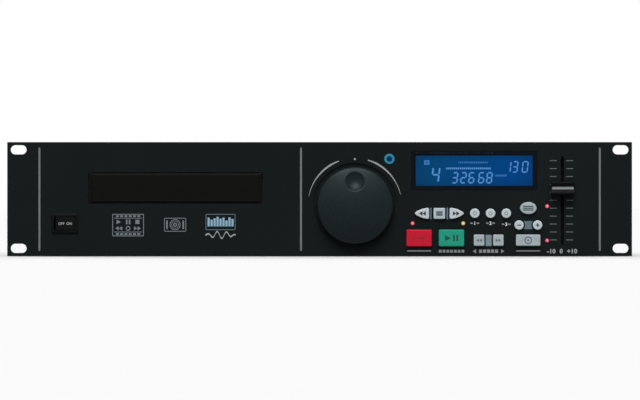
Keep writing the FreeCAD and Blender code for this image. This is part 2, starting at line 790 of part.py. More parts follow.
def eject_button():
    cap = rod_y(EJECT_X, EJECT_Z, EJECT_R, FRONT - EJECT_PROUD, SEAT_GAP + BUTTON_FLANGE_T)
    cap = cap.makeFillet(BUTTON_EDGE, edges_at_y(cap, FRONT - EJECT_PROUD))
    flange = rod_y(EJECT_X, EJECT_Z, EJECT_RING_R, SEAT_GAP + BUTTON_FLANGE_T, SEAT_GAP + 2 * BUTTON_FLANGE_T)
    stem = rod_y(EJECT_X, EJECT_Z, BUTTON_STEM_R, SEAT_GAP + 2 * BUTTON_FLANGE_T, STEM_END)
    return join(cap, flange, stem)


def eject_ring():
    """The clear ring that is lit round the eject button, held by a collar behind the panel."""
    ring = rod_y(EJECT_X, EJECT_Z, EJECT_RING_R, FRONT - EJECT_RING_PROUD, BUTTON_FLANGE_T)
    ring = ring.makeFillet(EJECT_RING_PROUD / 2, edges_at_y(ring, FRONT - EJECT_RING_PROUD))
    collar = rod_y(EJECT_X, EJECT_Z, EJECT_RING_R + 0.8, 0, BUTTON_FLANGE_T)
    bore = rod_y(EJECT_X, EJECT_Z, EJECT_R + BUTTON_GAP / 2, FRONT - 2, BUTTON_FLANGE_T)
    return cut(join(ring, collar), bore)


def switch_points():
    points = [(x, z) for x, z, outline in button_outlines().values()]
    return points + [(EJECT_X, EJECT_Z)]


# ================================================================ panel and case
def front_panel():
    plate = block(0, 0, PANEL_W, PANEL_H, FRONT, 0)
    plate = plate.makeChamfer(PANEL_EDGE, edges_at_y(plate, FRONT))
    deep = FRONT - 5
    tools = []
    for sx in (-1, 1):
        for sz in (-1, 1):
            x, z = sx * RACK_SPACING_X / 2, sz * RACK_SPACING_Z / 2
            slot = rounded_rectangle(x, z, RACK_SLOT_L, RACK_SLOT_H, RACK_SLOT_H / 2)
            tools.append(extrude(slot, deep, 1))
    for x in (-GROOVE_X, GROOVE_MID_X, GROOVE_X):
        groove = rounded_rectangle(x, 0, GROOVE_W, GROOVE_L, GROOVE_W / 2)
        tools.append(extrude(groove, deep, FRONT + GROOVE_DEPTH))
    opening = rounded_rectangle(TRAY_X, TRAY_Z, TRAY_OPENING_W, TRAY_OPENING_H, TRAY_FACE_GAP + 0.6)
    tools.append(extrude(opening, deep, 1))
    tools.append(rod_y(JOG_X, JOG_Z, JOG_RECESS_R, deep, FRONT + JOG_RECESS_DEPTH))
    tools.append(rod_y(JOG_X, JOG_Z, BUSHING_R + SLIDE_GAP, deep, 1))
    for x, z, outline in button_outlines().values():
        tools.append(extrude(outline(BUTTON_GAP), deep, 1))
    tools.append(rod_y(EJECT_X, EJECT_Z, EJECT_RING_R + SEAT_GAP, deep, 1))
    window = rounded_rectangle(
        DISPLAY_X, DISPLAY_Z, DISPLAY_W + 2 * DISPLAY_GAP, DISPLAY_H + 2 * DISPLAY_GAP, 0.8 + DISPLAY_GAP
    )
    tools.append(extrude(window, deep, 1))
    for x, z in lamp_points():
        tools.append(rod_y(x, z, LAMP_R + SEAT_GAP, deep, 1))
    fader_slot = rounded_rectangle(FADER_X, FADER_Z, FADER_SLOT_W, FADER_SLOT_H, FADER_SLOT_W / 2)
    tools.append(extrude(fader_slot, deep, 1))
    tools.append(block(POWER_X, POWER_Z, POWER_BODY_W + 2 * SHEET_GAP, POWER_BODY_H + 2 * SHEET_GAP, deep, 1))
    for x, z in panel_screw_points():
        tools.append(rod_y(x, z, SCREW_HOLE_R, -PANEL_T * 0.7, 1))
    plate = cut(plate, *tools)
    pillars = [rod_y(x, z, STANDOFF_R, 0, CONTROL_BOARD_Y) for x, z in standoff_points()]
    plate = join(plate, *pillars)
    threads = [rod_y(x, z, SCREW_HOLE_R, CONTROL_BOARD_Y - 5, CONTROL_BOARD_Y + 1) for x, z in standoff_points()]
    return cut(plate, *threads)


def chassis_base():
    """Floor, side flanges, front tabs and lip, rear wall and its lip, folded from one sheet."""
    floor = box(-BASE_X, BASE_X, 0, REAR, CASE_BOTTOM, FLOOR)
    top = CASE_TOP - SHEET_T - SHEET_GAP
    pieces = [box(-BASE_X, BASE_X, REAR - SHEET_T, REAR, CASE_BOTTOM, top)]
    pieces.append(box(-BASE_X, BASE_X, REAR - REAR_LIP_D, REAR, top - SHEET_T, top))
    lip_half = TRAY_W / 2
    pieces.append(box(TRAY_X - lip_half, TRAY_X + lip_half, 0, SHEET_T, CASE_BOTTOM, CASE_BOTTOM + FRONT_LIP_H))
    for side in (-1, 1):
        outer, inner = side * BASE_X, side * (BASE_X - SHEET_T)
        x0, x1 = min(outer, inner), max(outer, inner)
        pieces.append(box(x0, x1, 0, REAR, CASE_BOTTOM, CASE_BOTTOM + BASE_FLANGE_H))
        pieces.append(box(x0, x1, 0, PANEL_TAB_D, CASE_BOTTOM, top))
        inner = side * (BASE_X - PANEL_TAB_W)
        x0, x1 = min(outer, inner), max(outer, inner)
        pieces.append(box(x0, x1, 0, SHEET_T, CASE_BOTTOM, top))
    base = join(floor, *pieces)
    standoffs = [rod_z(x, y, STANDOFF_R, FLOOR, FLOOR + MAIN_STANDOFF_H) for x, y in main_board_points()]
    base = join(base, *standoffs)
    tools = [rod_z(x, y, SCREW_HOLE_R, FLOOR + 2, FLOOR + MAIN_STANDOFF_H + 1) for x, y in main_board_points()]
    tools += [rod_y(x, z, SCREW_HOLE_R, -1, SHEET_T + 1) for x, z in panel_screw_points()]
    for x, y in foot_points() + bracket_floor_points() + transformer_points():
        tools.append(rod_z(x, y, SCREW_HOLE_R, CASE_BOTTOM - 1, FLOOR + 1))
    for side, y in cover_side_points():
        x = side * BASE_X
        tools.append(rod_x(y, CASE_BOTTOM + BASE_FLANGE_H / 2, SCREW_HOLE_R, x - 3, x + 3))
    tools += [rod_z(x, y, SCREW_HOLE_R, top - 3, top + 1) for x, y in cover_top_points()]
    tools.append(block(INLET_X, INLET_Z, INLET_BODY_W + 0.4, INLET_BODY_H + 0.4, REAR - 3, REAR + 1))
    tools += [rod_y(x, z, SCREW_HOLE_R, REAR - 3, REAR + 1) for x, z in inlet_screw_points()]
    tools += [rod_y(x, AUDIO_Z, AUDIO_R, REAR - 3, REAR + 1) for x in audio_points()]
    tools.append(rod_y(START_X, AUDIO_Z, START_BARREL_R, REAR - 3, REAR + 1))
    return cut(base, *tools)


def audio_points():
    return [AUDIO_X + k * AUDIO_PITCH for k in range(AUDIO_COUNT)]


def top_cover():
    """Top and sides from one sheet, with rows of vents."""
    shell = box(-CASE_W / 2, CASE_W / 2, SEAT_GAP, CASE_DEPTH, CASE_BOTTOM, CASE_TOP)
    hollow = box(-COVER_IN_X, COVER_IN_X, -1, CASE_DEPTH + 1, CASE_BOTTOM - 1, CASE_TOP - SHEET_T)
    folds = [e for e in edges_along(shell, Y_AXIS) if e.BoundBox.ZMin > CASE_TOP - 1]
    shell = cut(shell.makeFillet(SHEET_T, folds), hollow)
    tools = []
    for k in range(SIDE_VENTS):
        y = CASE_DEPTH * 0.5 + (k - (SIDE_VENTS - 1) / 2) * VENT_PITCH
        z0 = (CASE_BOTTOM + CASE_TOP) / 2 - VENT_L / 2 + 4
        tools.append(box(-CASE_W / 2 - 1, CASE_W / 2 + 1, y - VENT_W / 2, y + VENT_W / 2, z0, z0 + VENT_L))
    for k in range(TOP_VENTS):
        x = TRANSFORMER_X + (k - (TOP_VENTS - 1) / 2) * VENT_PITCH * 0.75
        for y0 in (TRANSFORMER_Y - VENT_L - 3, TRANSFORMER_Y + 3):
            tools.append(box(x - VENT_W / 2, x + VENT_W / 2, y0, y0 + VENT_L, CASE_TOP - 3, CASE_TOP + 1))
    for side, y in cover_side_points():
        x = side * CASE_W / 2
        tools.append(rod_x(y, CASE_BOTTOM + BASE_FLANGE_H / 2, SCREW_HOLE_R, x - 3, x + 3))
    tools += [rod_z(x, y, SCREW_HOLE_R, CASE_TOP - 3, CASE_TOP + 1) for x, y in cover_top_points()]
    return cut(shell, *tools)


def feet():
    made = []
    for x, y in foot_points():
        foot = cone_z(x, y, FOOT_R - 0.8, FOOT_R, CASE_BOTTOM - FOOT_H, CASE_BOTTOM)
        pocket = rod_z(x, y, FOOT_POCKET_R, CASE_BOTTOM - FOOT_H - 1, CASE_BOTTOM - FOOT_H + FOOT_POCKET_DEPTH)
        hole = rod_z(x, y, SCREW_HOLE_R, CASE_BOTTOM - FOOT_H - 1, CASE_BOTTOM + 1)
        made.append(cut(foot, pocket, hole))
    return Part.makeCompound(made)


def m3_screws():
    """All the pan-head screws of the case, the boards and the loader."""
    made = []
    for side, y in cover_side_points():
        reach = 2 * SHEET_T + SHEET_GAP
        z = CASE_BOTTOM + BASE_FLANGE_H / 2
        made.append(screw(side * CASE_W / 2, y, z, V(-side, 0, 0), reach + 1))
    for x, y in cover_top_points():
        made.append(screw(x, y, CASE_TOP, V(0, 0, -1), 2 * SHEET_T + SHEET_GAP + 1))
    for x, y in foot_points():
        seat = CASE_BOTTOM - FOOT_H + FOOT_POCKET_DEPTH
        made.append(screw(x, y, seat, Z_AXIS, FLOOR - seat))
    for x, z in panel_screw_points():
        made.append(screw(x, SHEET_T, z, V(0, -1, 0), SHEET_T + PANEL_T * 0.6, False))
    for x, z in standoff_points():
        made.append(screw(x, CONTROL_BOARD_Y + BOARD_T, z, V(0, -1, 0), BOARD_T + 4, False))
    for x, y in bracket_floor_points():
        made.append(screw(x, y, FLOOR + BRACKET_T, V(0, 0, -1), BRACKET_T + SHEET_T, False))
    for side, y in bracket_side_points():
        x = TRAY_X + side * (LOADER_OUT + BRACKET_T)
        made.append(screw(x, y, LOADER_BOTTOM + 5, V(-side, 0, 0), BRACKET_T + LOADER_WALL * 0.8, False))
    for x, y in bridge_points():
        made.append(screw(x, y, BRIDGE_Z + BRIDGE_T, V(0, 0, -1), BRIDGE_T + 4, False))
    for x, y in main_board_points():
        made.append(screw(x, y, FLOOR + MAIN_STANDOFF_H + BOARD_T, V(0, 0, -1), BOARD_T + 4, False))
    for x, y in transformer_points():
        made.append(screw(x, y, FLOOR + 1.5, V(0, 0, -1), 1.5 + SHEET_T, False))
    for x, z in inlet_screw_points():
        made.append(screw(x, REAR + INLET_FLANGE_T, z, V(0, -1, 0), INLET_FLANGE_T + SHEET_T + 1))
    return Part.makeCompound(made)


# ================================================================ loader
def tray(x):
    """An x measured from the tray's centre line."""
    return TRAY_X + x


def loader_frame():
    """Side walls with tray guides, a front deck for the gears and a rear deck for the hinge posts."""
    pieces = []
    for side in (-1, 1):
        inner, outer = tray(side * LOADER_IN), tray(side * LOADER_OUT)
        x0, x1 = min(inner, outer), max(inner, outer)
        pieces.append(box(x0, x1, LOADER_FRONT, LOADER_REAR, LOADER_BOTTOM, LOADER_TOP))
        reach = tray(side * (LOADER_IN - GUIDE_W))
        x0, x1 = min(inner, reach), max(inner, reach)
        low = TRAY_BOTTOM - SLIDE_GAP
        pieces.append(box(x0, x1, LOADER_FRONT, LOADER_REAR, low - GUIDE_T, low))
        reach = tray(side * (TRAY_W / 2 + SLIDE_GAP))
        x0, x1 = min(inner, reach), max(inner, reach)
        high = TRAY_BOTTOM + TRAY_FLANGE_T + SLIDE_GAP
        pieces.append(box(x0, x1, LOADER_FRONT, LOADER_REAR, high, TRAY_TOP))
    left, right = tray(-LOADER_OUT), tray(LOADER_OUT)
    pieces.append(box(left, right, LOADER_FRONT, DECK_FRONT_END, LOADER_BOTTOM, DECK_TOP))
    front_top = TRAY_BOTTOM - RACK_H - SLIDE_GAP - 0.5
    pieces.append(box(left, right, LOADER_FRONT, LOADER_FRONT + 2, LOADER_BOTTOM, front_top))
    rear_deck_top = LIFT_BOTTOM - 0.5
    pieces.append(box(left, right, DECK_REAR_START, LOADER_REAR, LOADER_BOTTOM, rear_deck_top))
    pieces.append(box(left, right, LOADER_REAR - LOADER_WALL, LOADER_REAR, LOADER_BOTTOM, LOADER_TOP))
    post_in = LIFT_W / 2 + 1
    for side in (-1, 1):
        x0, x1 = sorted((tray(side * post_in), tray(side * (post_in + 4))))
        pieces.append(
            box(x0, x1, LIFT_HINGE_Y - 5, LIFT_HINGE_Y + 5, LOADER_BOTTOM, LIFT_HINGE_Z + LIFT_PIN_R + 2.5)
        )
    frame = join(*pieces)
    gear_x, pulley_x = tray(TRAY_GEAR_X), tray(PULLEY_X)
    pins = [
        rod_z(gear_x, GEAR_Y, TRAY_GEAR_PIN_R, DECK_TOP - 1, GEAR_TOP + 0.3),
        rod_z(gear_x, GEAR_Y, TRAY_GEAR_PIN_R + 1.5, DECK_TOP - 1, WHEEL_Z - SEAT_GAP),
        rod_z(pulley_x, GEAR_Y, PULLEY_PIN_R, DECK_TOP - 1, WHEEL_TOP + 1.4),
        rod_z(pulley_x, GEAR_Y, PULLEY_PIN_R + 1.5, DECK_TOP - 1, PULLEY_Z - SEAT_GAP),
    ]
    frame = join(frame, *pins)
    tools = [rod_z(tray(MOTOR_PULLEY_X), GEAR_Y, MOTOR_SHAFT_R + 2, LOADER_BOTTOM - 1, DECK_TOP + 1)]
    tools.append(
        rod_x(
            LIFT_HINGE_Y, LIFT_HINGE_Z, LIFT_PIN_R + RUN_GAP, tray(-post_in - 5), tray(post_in + 5)
        )
    )
    for side, y in bracket_side_points():
        x = tray(side * LOADER_OUT)
        tools.append(rod_x(y, LOADER_BOTTOM + 5, SCREW_HOLE_R, x - LOADER_WALL * 0.9, x + LOADER_WALL * 0.9))
    tools += [rod_z(x, y, SCREW_HOLE_R, LOADER_TOP - 5, LOADER_TOP + 1) for x, y in bridge_points()]
    return cut(frame, *tools)


def loader_brackets():
    """Two steel brackets that carry the loader over the floor."""
    made = []
    for side in (-1, 1):
        inner, outer = side * LOADER_OUT, side * (LOADER_OUT + BRACKET_T)
        x0, x1 = sorted((tray(inner), tray(outer)))
        wall = box(x0, x1, BRACKET_START, BRACKET_END, FLOOR, LOADER_BOTTOM + 10)
        x0, x1 = sorted((tray(inner), tray(outer + side * BRACKET_FOOT_W)))
        foot = box(x0, x1, BRACKET_START, BRACKET_END, FLOOR, FLOOR + BRACKET_T)
        window = box(
            tray(inner) - 3, tray(inner) + 3, BRACKET_START + 16, BRACKET_END - 16, FLOOR + 7, LOADER_BOTTOM - 4
        )
        holes = [rod_z(x, y, SCREW_HOLE_R, FLOOR - 1, FLOOR + 3) for x, y in bracket_floor_points()]
        for s, y in bracket_side_points():
            x = tray(s * LOADER_OUT)
            holes.append(rod_x(y, LOADER_BOTTOM + 5, SCREW_HOLE_R, x - 3, x + 3))
        made.append(cut(join(wall, foot), window, *holes))
    return Part.makeCompound(made)


def clamp_bridge():
    """The steel strip over the tray, with the hole that the clamper hangs in and two stiffening ribs."""
    top = BRIDGE_Z + BRIDGE_T
    y0, y1 = DISC_Y - BRIDGE_W / 2, DISC_Y + BRIDGE_W / 2
    strip = box(tray(-LOADER_OUT), tray(LOADER_OUT), y0, y1, BRIDGE_Z, top)
    rib_half = LOADER_IN - 4
    ribs = [box(tray(-rib_half), tray(rib_half), y, y + BRIDGE_T, top, top + 4) for y in (y0, y1 - BRIDGE_T)]
    hole = rod_z(TRAY_X, DISC_Y, CLAMPER_NECK_R + 0.5, BRIDGE_Z - 1, top + 1)
    holes = [rod_z(x, y, SCREW_HOLE_R, BRIDGE_Z - 1, top + 1) for x, y in bridge_points()]
    return cut(join(strip, *ribs), hole, *holes)


def clamper():
    """The disc clamper, hanging by its flange on the bridge."""
    seat = BRIDGE_Z + BRIDGE_T + SEAT_GAP
    flange = rod_z(TRAY_X, DISC_Y, CLAMPER_FLANGE_R, seat, seat + CLAMPER_FLANGE_T)
    neck = rod_z(TRAY_X, DISC_Y, CLAMPER_NECK_R, CLAMPER_BOTTOM, seat)
    body = join(flange, neck)
    body = body.makeChamfer(0.5, edges_at_z(body, seat + CLAMPER_FLANGE_T))
    cavity = rod_z(TRAY_X, DISC_Y, CLAMPER_CAVITY_R, CLAMPER_BOTTOM - 1, CLAMPER_BOTTOM + CLAMPER_CAVITY_DEPTH)
    dish = cone_z(TRAY_X, DISC_Y, 3, 9, seat + 0.8, seat + CLAMPER_FLANGE_T + 0.001)
    return cut(body, cavity, dish)


def edges_at_z(shape, z):
    return [e for e in shape.Edges if abs(e.BoundBox.ZMin - z) < 1e-6 and abs(e.BoundBox.ZMax - z) < 1e-6]


def disc_tray():
    """The tray plate with both disc recesses, the slot for the pickup, side flanges and the rack."""
    plate = box(tray(-TRAY_W / 2), tray(TRAY_W / 2), TRAY_FACE_BACK, TRAY_LENGTH, TRAY_BOTTOM, TRAY_TOP)
    corners = [e for e in edges_along(plate, Z_AXIS) if e.BoundBox.YMin > TRAY_LENGTH - 1]
    plate = plate.makeFillet(4, corners)
    top = TRAY_TOP + 1
    tools = [rod_z(TRAY_X, DISC_Y, DISC_R + DISC_MARGIN, RECESS_FLOOR, top)]
    tools.append(rod_z(TRAY_X, DISC_Y, SMALL_DISC_R + DISC_MARGIN, RECESS_FLOOR - SMALL_RECESS_DEPTH, top))
    tools.append(rod_z(TRAY_X, DISC_Y, TRAY_SLOT_W / 2, TRAY_BOTTOM - 1, top))
    tools.append(
        box(tray(-TRAY_SLOT_W / 2), tray(TRAY_SLOT_W / 2), DISC_Y, TRAY_LENGTH + 1, TRAY_BOTTOM - 1, top)
    )
    for side in (-1, 1):
        notch_y = DISC_Y - 0.55 * DISC_R
        notch_x = tray(side * 0.86 * DISC_R)
        tools.append(rod_z(notch_x, notch_y, FINGER_NOTCH_R, RECESS_FLOOR - 0.6, top))
    plate = cut(plate, *tools)
    pieces = []
    for side in (-1, 1):
        x0, x1 = sorted((tray(side * (TRAY_W / 2 - 0.5)), tray(side * TRAY_FLANGE_X)))
        start = TRAY_LENGTH - 60
        pieces.append(box(x0, x1, start, TRAY_LENGTH - 4.5, TRAY_BOTTOM, TRAY_BOTTOM + TRAY_FLANGE_T))
    back = RACK_PITCH_X - DEDENDUM * RACK_MODULE - RACK_BAR_W
    low, high = TRAY_BOTTOM - RACK_H, TRAY_BOTTOM + 0.5
    rack_end = TRAY_LENGTH - 3
    pieces.append(rack(RACK_MODULE, tray(RACK_PITCH_X), tray(back), RACK_START, rack_end, GEAR_Y, low, high))
    return join(plate, *pieces)


def tray_bezel():
    """The tray's front, with slopes along its long edges and wider ones at its ends."""
    front, shoulder = FRONT - TRAY_FACE_PROUD, FRONT - TRAY_FACE_PROUD + TRAY_FACE_CHAMFER
    face = block(TRAY_X, TRAY_Z, TRAY_FACE_W, TRAY_FACE_H, front, TRAY_FACE_BACK)
    tools = []
    for side in (-1, 1):
        end, inner = TRAY_X + side * TRAY_FACE_W / 2, TRAY_X + side * (TRAY_FACE_W / 2 - TRAY_FACE_END_SLOPE)
        corner = [V(end, shoulder, 0), V(end, front, 0), V(inner, front, 0), V(end, shoulder, 0)]
        tools.append(moved(Part.Face(Part.makePolygon(corner)).extrude(V(0, 0, PANEL_H)), 0, 0, -PANEL_H / 2))
        edge, inner = TRAY_Z + side * TRAY_FACE_H / 2, TRAY_Z + side * (TRAY_FACE_H / 2 - TRAY_FACE_CHAMFER)
        corner = [V(0, shoulder, edge), V(0, front, edge), V(0, front, inner), V(0, shoulder, edge)]
        tools.append(moved(Part.Face(Part.makePolygon(corner)).extrude(V(PANEL_W, 0, 0)), -PANEL_W / 2, 0, 0))
    return cut(face, *tools)


def tray_gear():
    upper = gear(RACK_MODULE, TRAY_GEAR_TEETH, math.pi, WHEEL_TOP, GEAR_TOP)
    lower = gear(WHEEL_MODULE, TRAY_WHEEL_TEETH, math.pi / TRAY_WHEEL_TEETH, WHEEL_Z, WHEEL_TOP)
    bore = rod_z(0, 0, TRAY_GEAR_PIN_R + RUN_GAP, WHEEL_Z - 1, GEAR_TOP + 1)
    return moved(cut(join(upper, lower), bore), tray(TRAY_GEAR_X), GEAR_Y, 0)


def grooved_pulley(groove_r, flange_r, z0, z1):
    """A belt pulley with a flat groove between two flanges."""
    side = (z1 - z0 - BELT_T - 2 * SLIDE_GAP) / 2
    core = rod_z(0, 0, groove_r, z0, z1)
    return join(core, rod_z(0, 0, flange_r, z0, z0 + side), rod_z(0, 0, flange_r, z1 - side, z1))


def loading_pulley():
    pinion = gear(WHEEL_MODULE, LOADING_PINION_TEETH, math.pi, PULLEY_Z + PULLEY_H, WHEEL_TOP + 0.8)
    pulley = grooved_pulley(PULLEY_GROOVE_R, PULLEY_FLANGE_R, PULLEY_Z, PULLEY_Z + PULLEY_H)
    bore = rod_z(0, 0, PULLEY_PIN_R + RUN_GAP, PULLEY_Z - 1, WHEEL_TOP + 3)
    return moved(cut(join(pulley, pinion), bore), tray(PULLEY_X), GEAR_Y, 0)


def motor_pulley():
    pulley = grooved_pulley(MOTOR_PULLEY_GROOVE_R, MOTOR_PULLEY_FLANGE_R, PULLEY_Z, PULLEY_Z + PULLEY_H)
    shaft = rod_z(0, 0, MOTOR_SHAFT_R, LOADER_BOTTOM - 6, PULLEY_Z)
    return moved(join(pulley, shaft), tray(MOTOR_PULLEY_X), GEAR_Y, 0)


def loop_face(x0, r0, x1, r1, z):
    """The area inside a belt line round two circles on the X axis."""
    lean = math.asin((r0 - r1) / (x1 - x0))
    a0 = V(x0 + r0 * math.sin(lean), r0 * math.cos(lean), z)
    a1 = V(x1 + r1 * math.sin(lean), r1 * math.cos(lean), z)
    b0, b1 = V(a0.x, -a0.y, z), V(a1.x, -a1.y, z)
    far0, far1 = V(x0 - r0, 0, z), V(x1 + r1, 0, z)
    return Part.Face(Part.Wire([line(a0, a1), arc(a1, far1, b1), line(b1, b0), arc(b0, far0, a0)]))


def drive_belt():
    inner0, inner1 = PULLEY_GROOVE_R + BELT_GAP, MOTOR_PULLEY_GROOVE_R + BELT_GAP
    z = PULLEY_Z + (PULLEY_H - BELT_T) / 2
    outside = loop_face(PULLEY_X, inner0 + BELT_T, MOTOR_PULLEY_X, inner1 + BELT_T, z)
    inside = loop_face(PULLEY_X, inner0, MOTOR_PULLEY_X, inner1, z)
    belt = outside.cut(inside).extrude(V(0, 0, BELT_T))
    return moved(belt, TRAY_X, GEAR_Y, 0)


def motor_can(x, y, top, r, height, shaft_r):
    """A small motor that hangs under a deck, with its bearing boss and a bore for the shaft."""
    can = rod_z(x, y, r, top - height, top)
    can = can.makeFillet(1.0, edges_at_z(can, top - height))
    boss = rod_z(x, y, shaft_r + 1.2, top - height - 1.5, top - height)
    bore = rod_z(x, y, shaft_r + RUN_GAP, top - height + 2, top + 1)
    return cut(join(can, boss), bore)


def loading_motor():
    return motor_can(
        tray(MOTOR_PULLEY_X), GEAR_Y, LOADER_BOTTOM, LOADING_MOTOR_R, LOADING_MOTOR_H, MOTOR_SHAFT_R
    )


# ================================================================ lift frame and pickup
def lift_drop():
    """How far the cam pin falls as the lift frame turns through its angle."""
    return (LIFT_HINGE_Y - LIFT_FRONT) * math.sin(math.radians(LIFT_ANGLE))


def lift_frame():
    half = LIFT_W / 2
    top = LIFT_BOTTOM + LIFT_H
    outer = box(tray(-half), tray(half), LIFT_FRONT, LIFT_REAR, LIFT_BOTTOM, top)
    inner = box(
        tray(-half + LIFT_WALL), tray(half - LIFT_WALL),
        LIFT_FRONT + LIFT_WALL, LIFT_REAR - LIFT_WALL, LIFT_BOTTOM - 1, top + 1,
    )
    ring = cut(outer, inner)
    pieces = []
    for x, y in damper_points():
        side = 1 if x > TRAY_X else -1
        x0, x1 = sorted((x - side * DAMPER_PAD / 2, tray(side * (half - LIFT_WALL / 2))))
        pieces.append(box(x0, x1, y - DAMPER_PAD / 2, y + DAMPER_PAD / 2, LIFT_BOTTOM, LIFT_BOTTOM + 2))
    for side in (-1, 1):
        x0, x1 = sorted((tray(side * half), tray(side * (half - LIFT_WALL))))
        ear = box(x0, x1, LIFT_REAR - 2, LIFT_HINGE_Y + 3, LIFT_BOTTOM + 0.6, top)
        x0, x1 = sorted((tray(side * (half - 0.5)), tray(side * (half + 4.5))))
        pieces += [ear, rod_x(LIFT_HINGE_Y, LIFT_HINGE_Z, LIFT_PIN_R, x0, x1)]
    pin = rod_y(TRAY_X, LIFT_HINGE_Z, CAM_PIN_R, CAM_FRONT - 0.1, LIFT_FRONT + 1)
    return join(ring, pin, *pieces)


def damper_points():
    x = CHASSIS_PLATE_W / 2 - DAMPER_R - 1.0
    return [(tray(s * x), y) for s in (-1, 1) for y in (CHASSIS_FRONT + 5.5, CHASSIS_REAR - 5.0)]


def cam_slider():
    """The upright cam plate whose sloping slot carries the lift frame's pin."""
    y0, y1 = CAM_FRONT, CAM_FRONT + CAM_T
    drop = lift_drop()
    plate = box(tray(-CAM_TRAVEL - 6), tray(8), y0, y1, LIFT_HINGE_Z - drop - 5, LIFT_HINGE_Z + 4)
    half = CAM_PIN_R + CAM_SLOT_GAP
    start, end = V(TRAY_X, 0, LIFT_HINGE_Z), V(tray(-CAM_TRAVEL), 0, LIFT_HINGE_Z - drop)
    across = (end - start).cross(Y_AXIS).normalize() * half
    along = (end - start).normalize() * half
    edges = [
        line(start + across, end + across), arc(end + across, end + along, end - across),
        line(end - across, start - across), arc(start - across, start - along, start + across),
    ]
    slot = extrude(Part.Face(Part.Wire(edges)), y0 - 1, y1 + 1)
    plate = cut(plate, slot)
    lower_top = LOADER_BOTTOM - SLIDE_GAP
    upper_low = DECK_TOP + SLIDE_GAP
    jaw_end = DECK_FRONT_END - 6
    lower = box(tray(-CAM_TRAVEL - 6), tray(8), jaw_end, y1, lower_top - 2, lower_top)
    upper = box(tray(3), tray(8), jaw_end, y1, upper_low, upper_low + 1.5)
    lower = lower.cut(extrude(Part.Face(Part.Wire(edges)), y0 - CAM_DECK_GAP - 1, y1 + 1))
    return join(plate, lower, upper)


def pickup_chassis():
    """The steel plate that carries motor, rods and gears, with the sled's opening and rod holders."""
    half = CHASSIS_PLATE_W / 2
    plate = box(tray(-half), tray(half), CHASSIS_FRONT, CHASSIS_REAR, CHASSIS_PLATE_Z, CHASSIS_TOP)
    opening_start = SLED_Y - SLED_L / 2 + 2
    opening_end = SLED_Y + SLED_L / 2 + SLED_TRAVEL - 1
    tools = [
        box(
            tray(-SLED_OPENING_W / 2), tray(SLED_OPENING_W / 2), opening_start, opening_end,
            CHASSIS_PLATE_Z - 1, CHASSIS_TOP + 1,
        ),
        rod_z(TRAY_X, DISC_Y, MOTOR_SHAFT_R + 2, CHASSIS_PLATE_Z - 1, CHASSIS_TOP + 1),
        rod_z(tray(SLED_GEAR_X), sled_pinion_y(), MOTOR_SHAFT_R + 1.5, CHASSIS_PLATE_Z - 1, CHASSIS_TOP + 1),
    ]
    tools += [rod_z(x, y, DAMPER_NECK_R + SEAT_GAP, CHASSIS_PLATE_Z - 1, CHASSIS_TOP + 1) for x, y in damper_points()]
    plate = cut(plate, *tools)
    holders = []
    for side in (-1, 1):
        for y0 in (rod_start(), rod_end() - ROD_HOLDER_T):
            x = tray(side * ROD_X)
            holders.append(box(x - 3, x + 3, y0, y0 + ROD_HOLDER_T, CHASSIS_TOP - 0.5, ROD_Z + ROD_R + 1.2))
    pin = rod_z(tray(SLED_GEAR_X), SLED_GEAR_Y, SLED_PIN_R, CHASSIS_TOP - 0.5, SLED_WHEEL_Z + 2.2)
    collar = rod_z(tray(SLED_GEAR_X), SLED_GEAR_Y, SLED_PIN_R + 1, CHASSIS_TOP - 0.5, SLED_RACK_Z - SEAT_GAP)
    plate = join(plate, pin, collar, *holders)
    bores = [rod_y(tray(s * ROD_X), ROD_Z, ROD_R + 0.01, rod_start() - 1, rod_end() + 1) for s in (-1, 1)]
    return cut(plate, *bores)


def rod_start():
    return SLED_Y - SLED_L / 2 - ROD_HOLDER_T - 0.6


def rod_end():
    return SLED_Y + SLED_L / 2 + SLED_TRAVEL + ROD_HOLDER_T + 0.6


def sled_pinion_y():
    return SLED_GEAR_Y + SLED_WHEEL_R + SLED_PINION_R


def damper_bushes():
    """Rubber bushes with a waist in the pickup chassis."""
    made = []
    for x, y in damper_points():
        foot = rod_z(x, y, DAMPER_R, LIFT_BOTTOM + 2, CHASSIS_PLATE_Z)
        neck = rod_z(x, y, DAMPER_NECK_R, CHASSIS_PLATE_Z, CHASSIS_TOP)
        head = cone_z(x, y, DAMPER_R - 0.4, DAMPER_NECK_R, CHASSIS_TOP, CHASSIS_TOP + 1.6)
        made.append(join(foot, neck, head))
    return Part.makeCompound(made)


def spindle_motor():
    return motor_can(TRAY_X, DISC_Y, CHASSIS_PLATE_Z, SPINDLE_MOTOR_R, SPINDLE_MOTOR_H, MOTOR_SHAFT_R)


def disc_hub():
    """The turntable with its centring cone and the motor shaft."""
    table = rod_z(TRAY_X, DISC_Y, HUB_R, HUB_SEAT - HUB_T, HUB_SEAT)
    boss = rod_z(TRAY_X, DISC_Y, HUB_BOSS_R, CHASSIS_TOP + 1, HUB_SEAT - HUB_T)
    cone = cone_z(TRAY_X, DISC_Y, HUB_CONE_R, HUB_CONE_R - 1, HUB_SEAT, HUB_SEAT + HUB_CONE_H)
    shaft = rod_z(TRAY_X, DISC_Y, MOTOR_SHAFT_R, CHASSIS_PLATE_Z - SPINDLE_MOTOR_H + 3, CHASSIS_TOP + 2)
    return join(table, boss, cone, shaft)


def sled_rods():
    return Part.makeCompound([rod_y(tray(s * ROD_X), ROD_Z, ROD_R, rod_start(), rod_end()) for s in (-1, 1)])


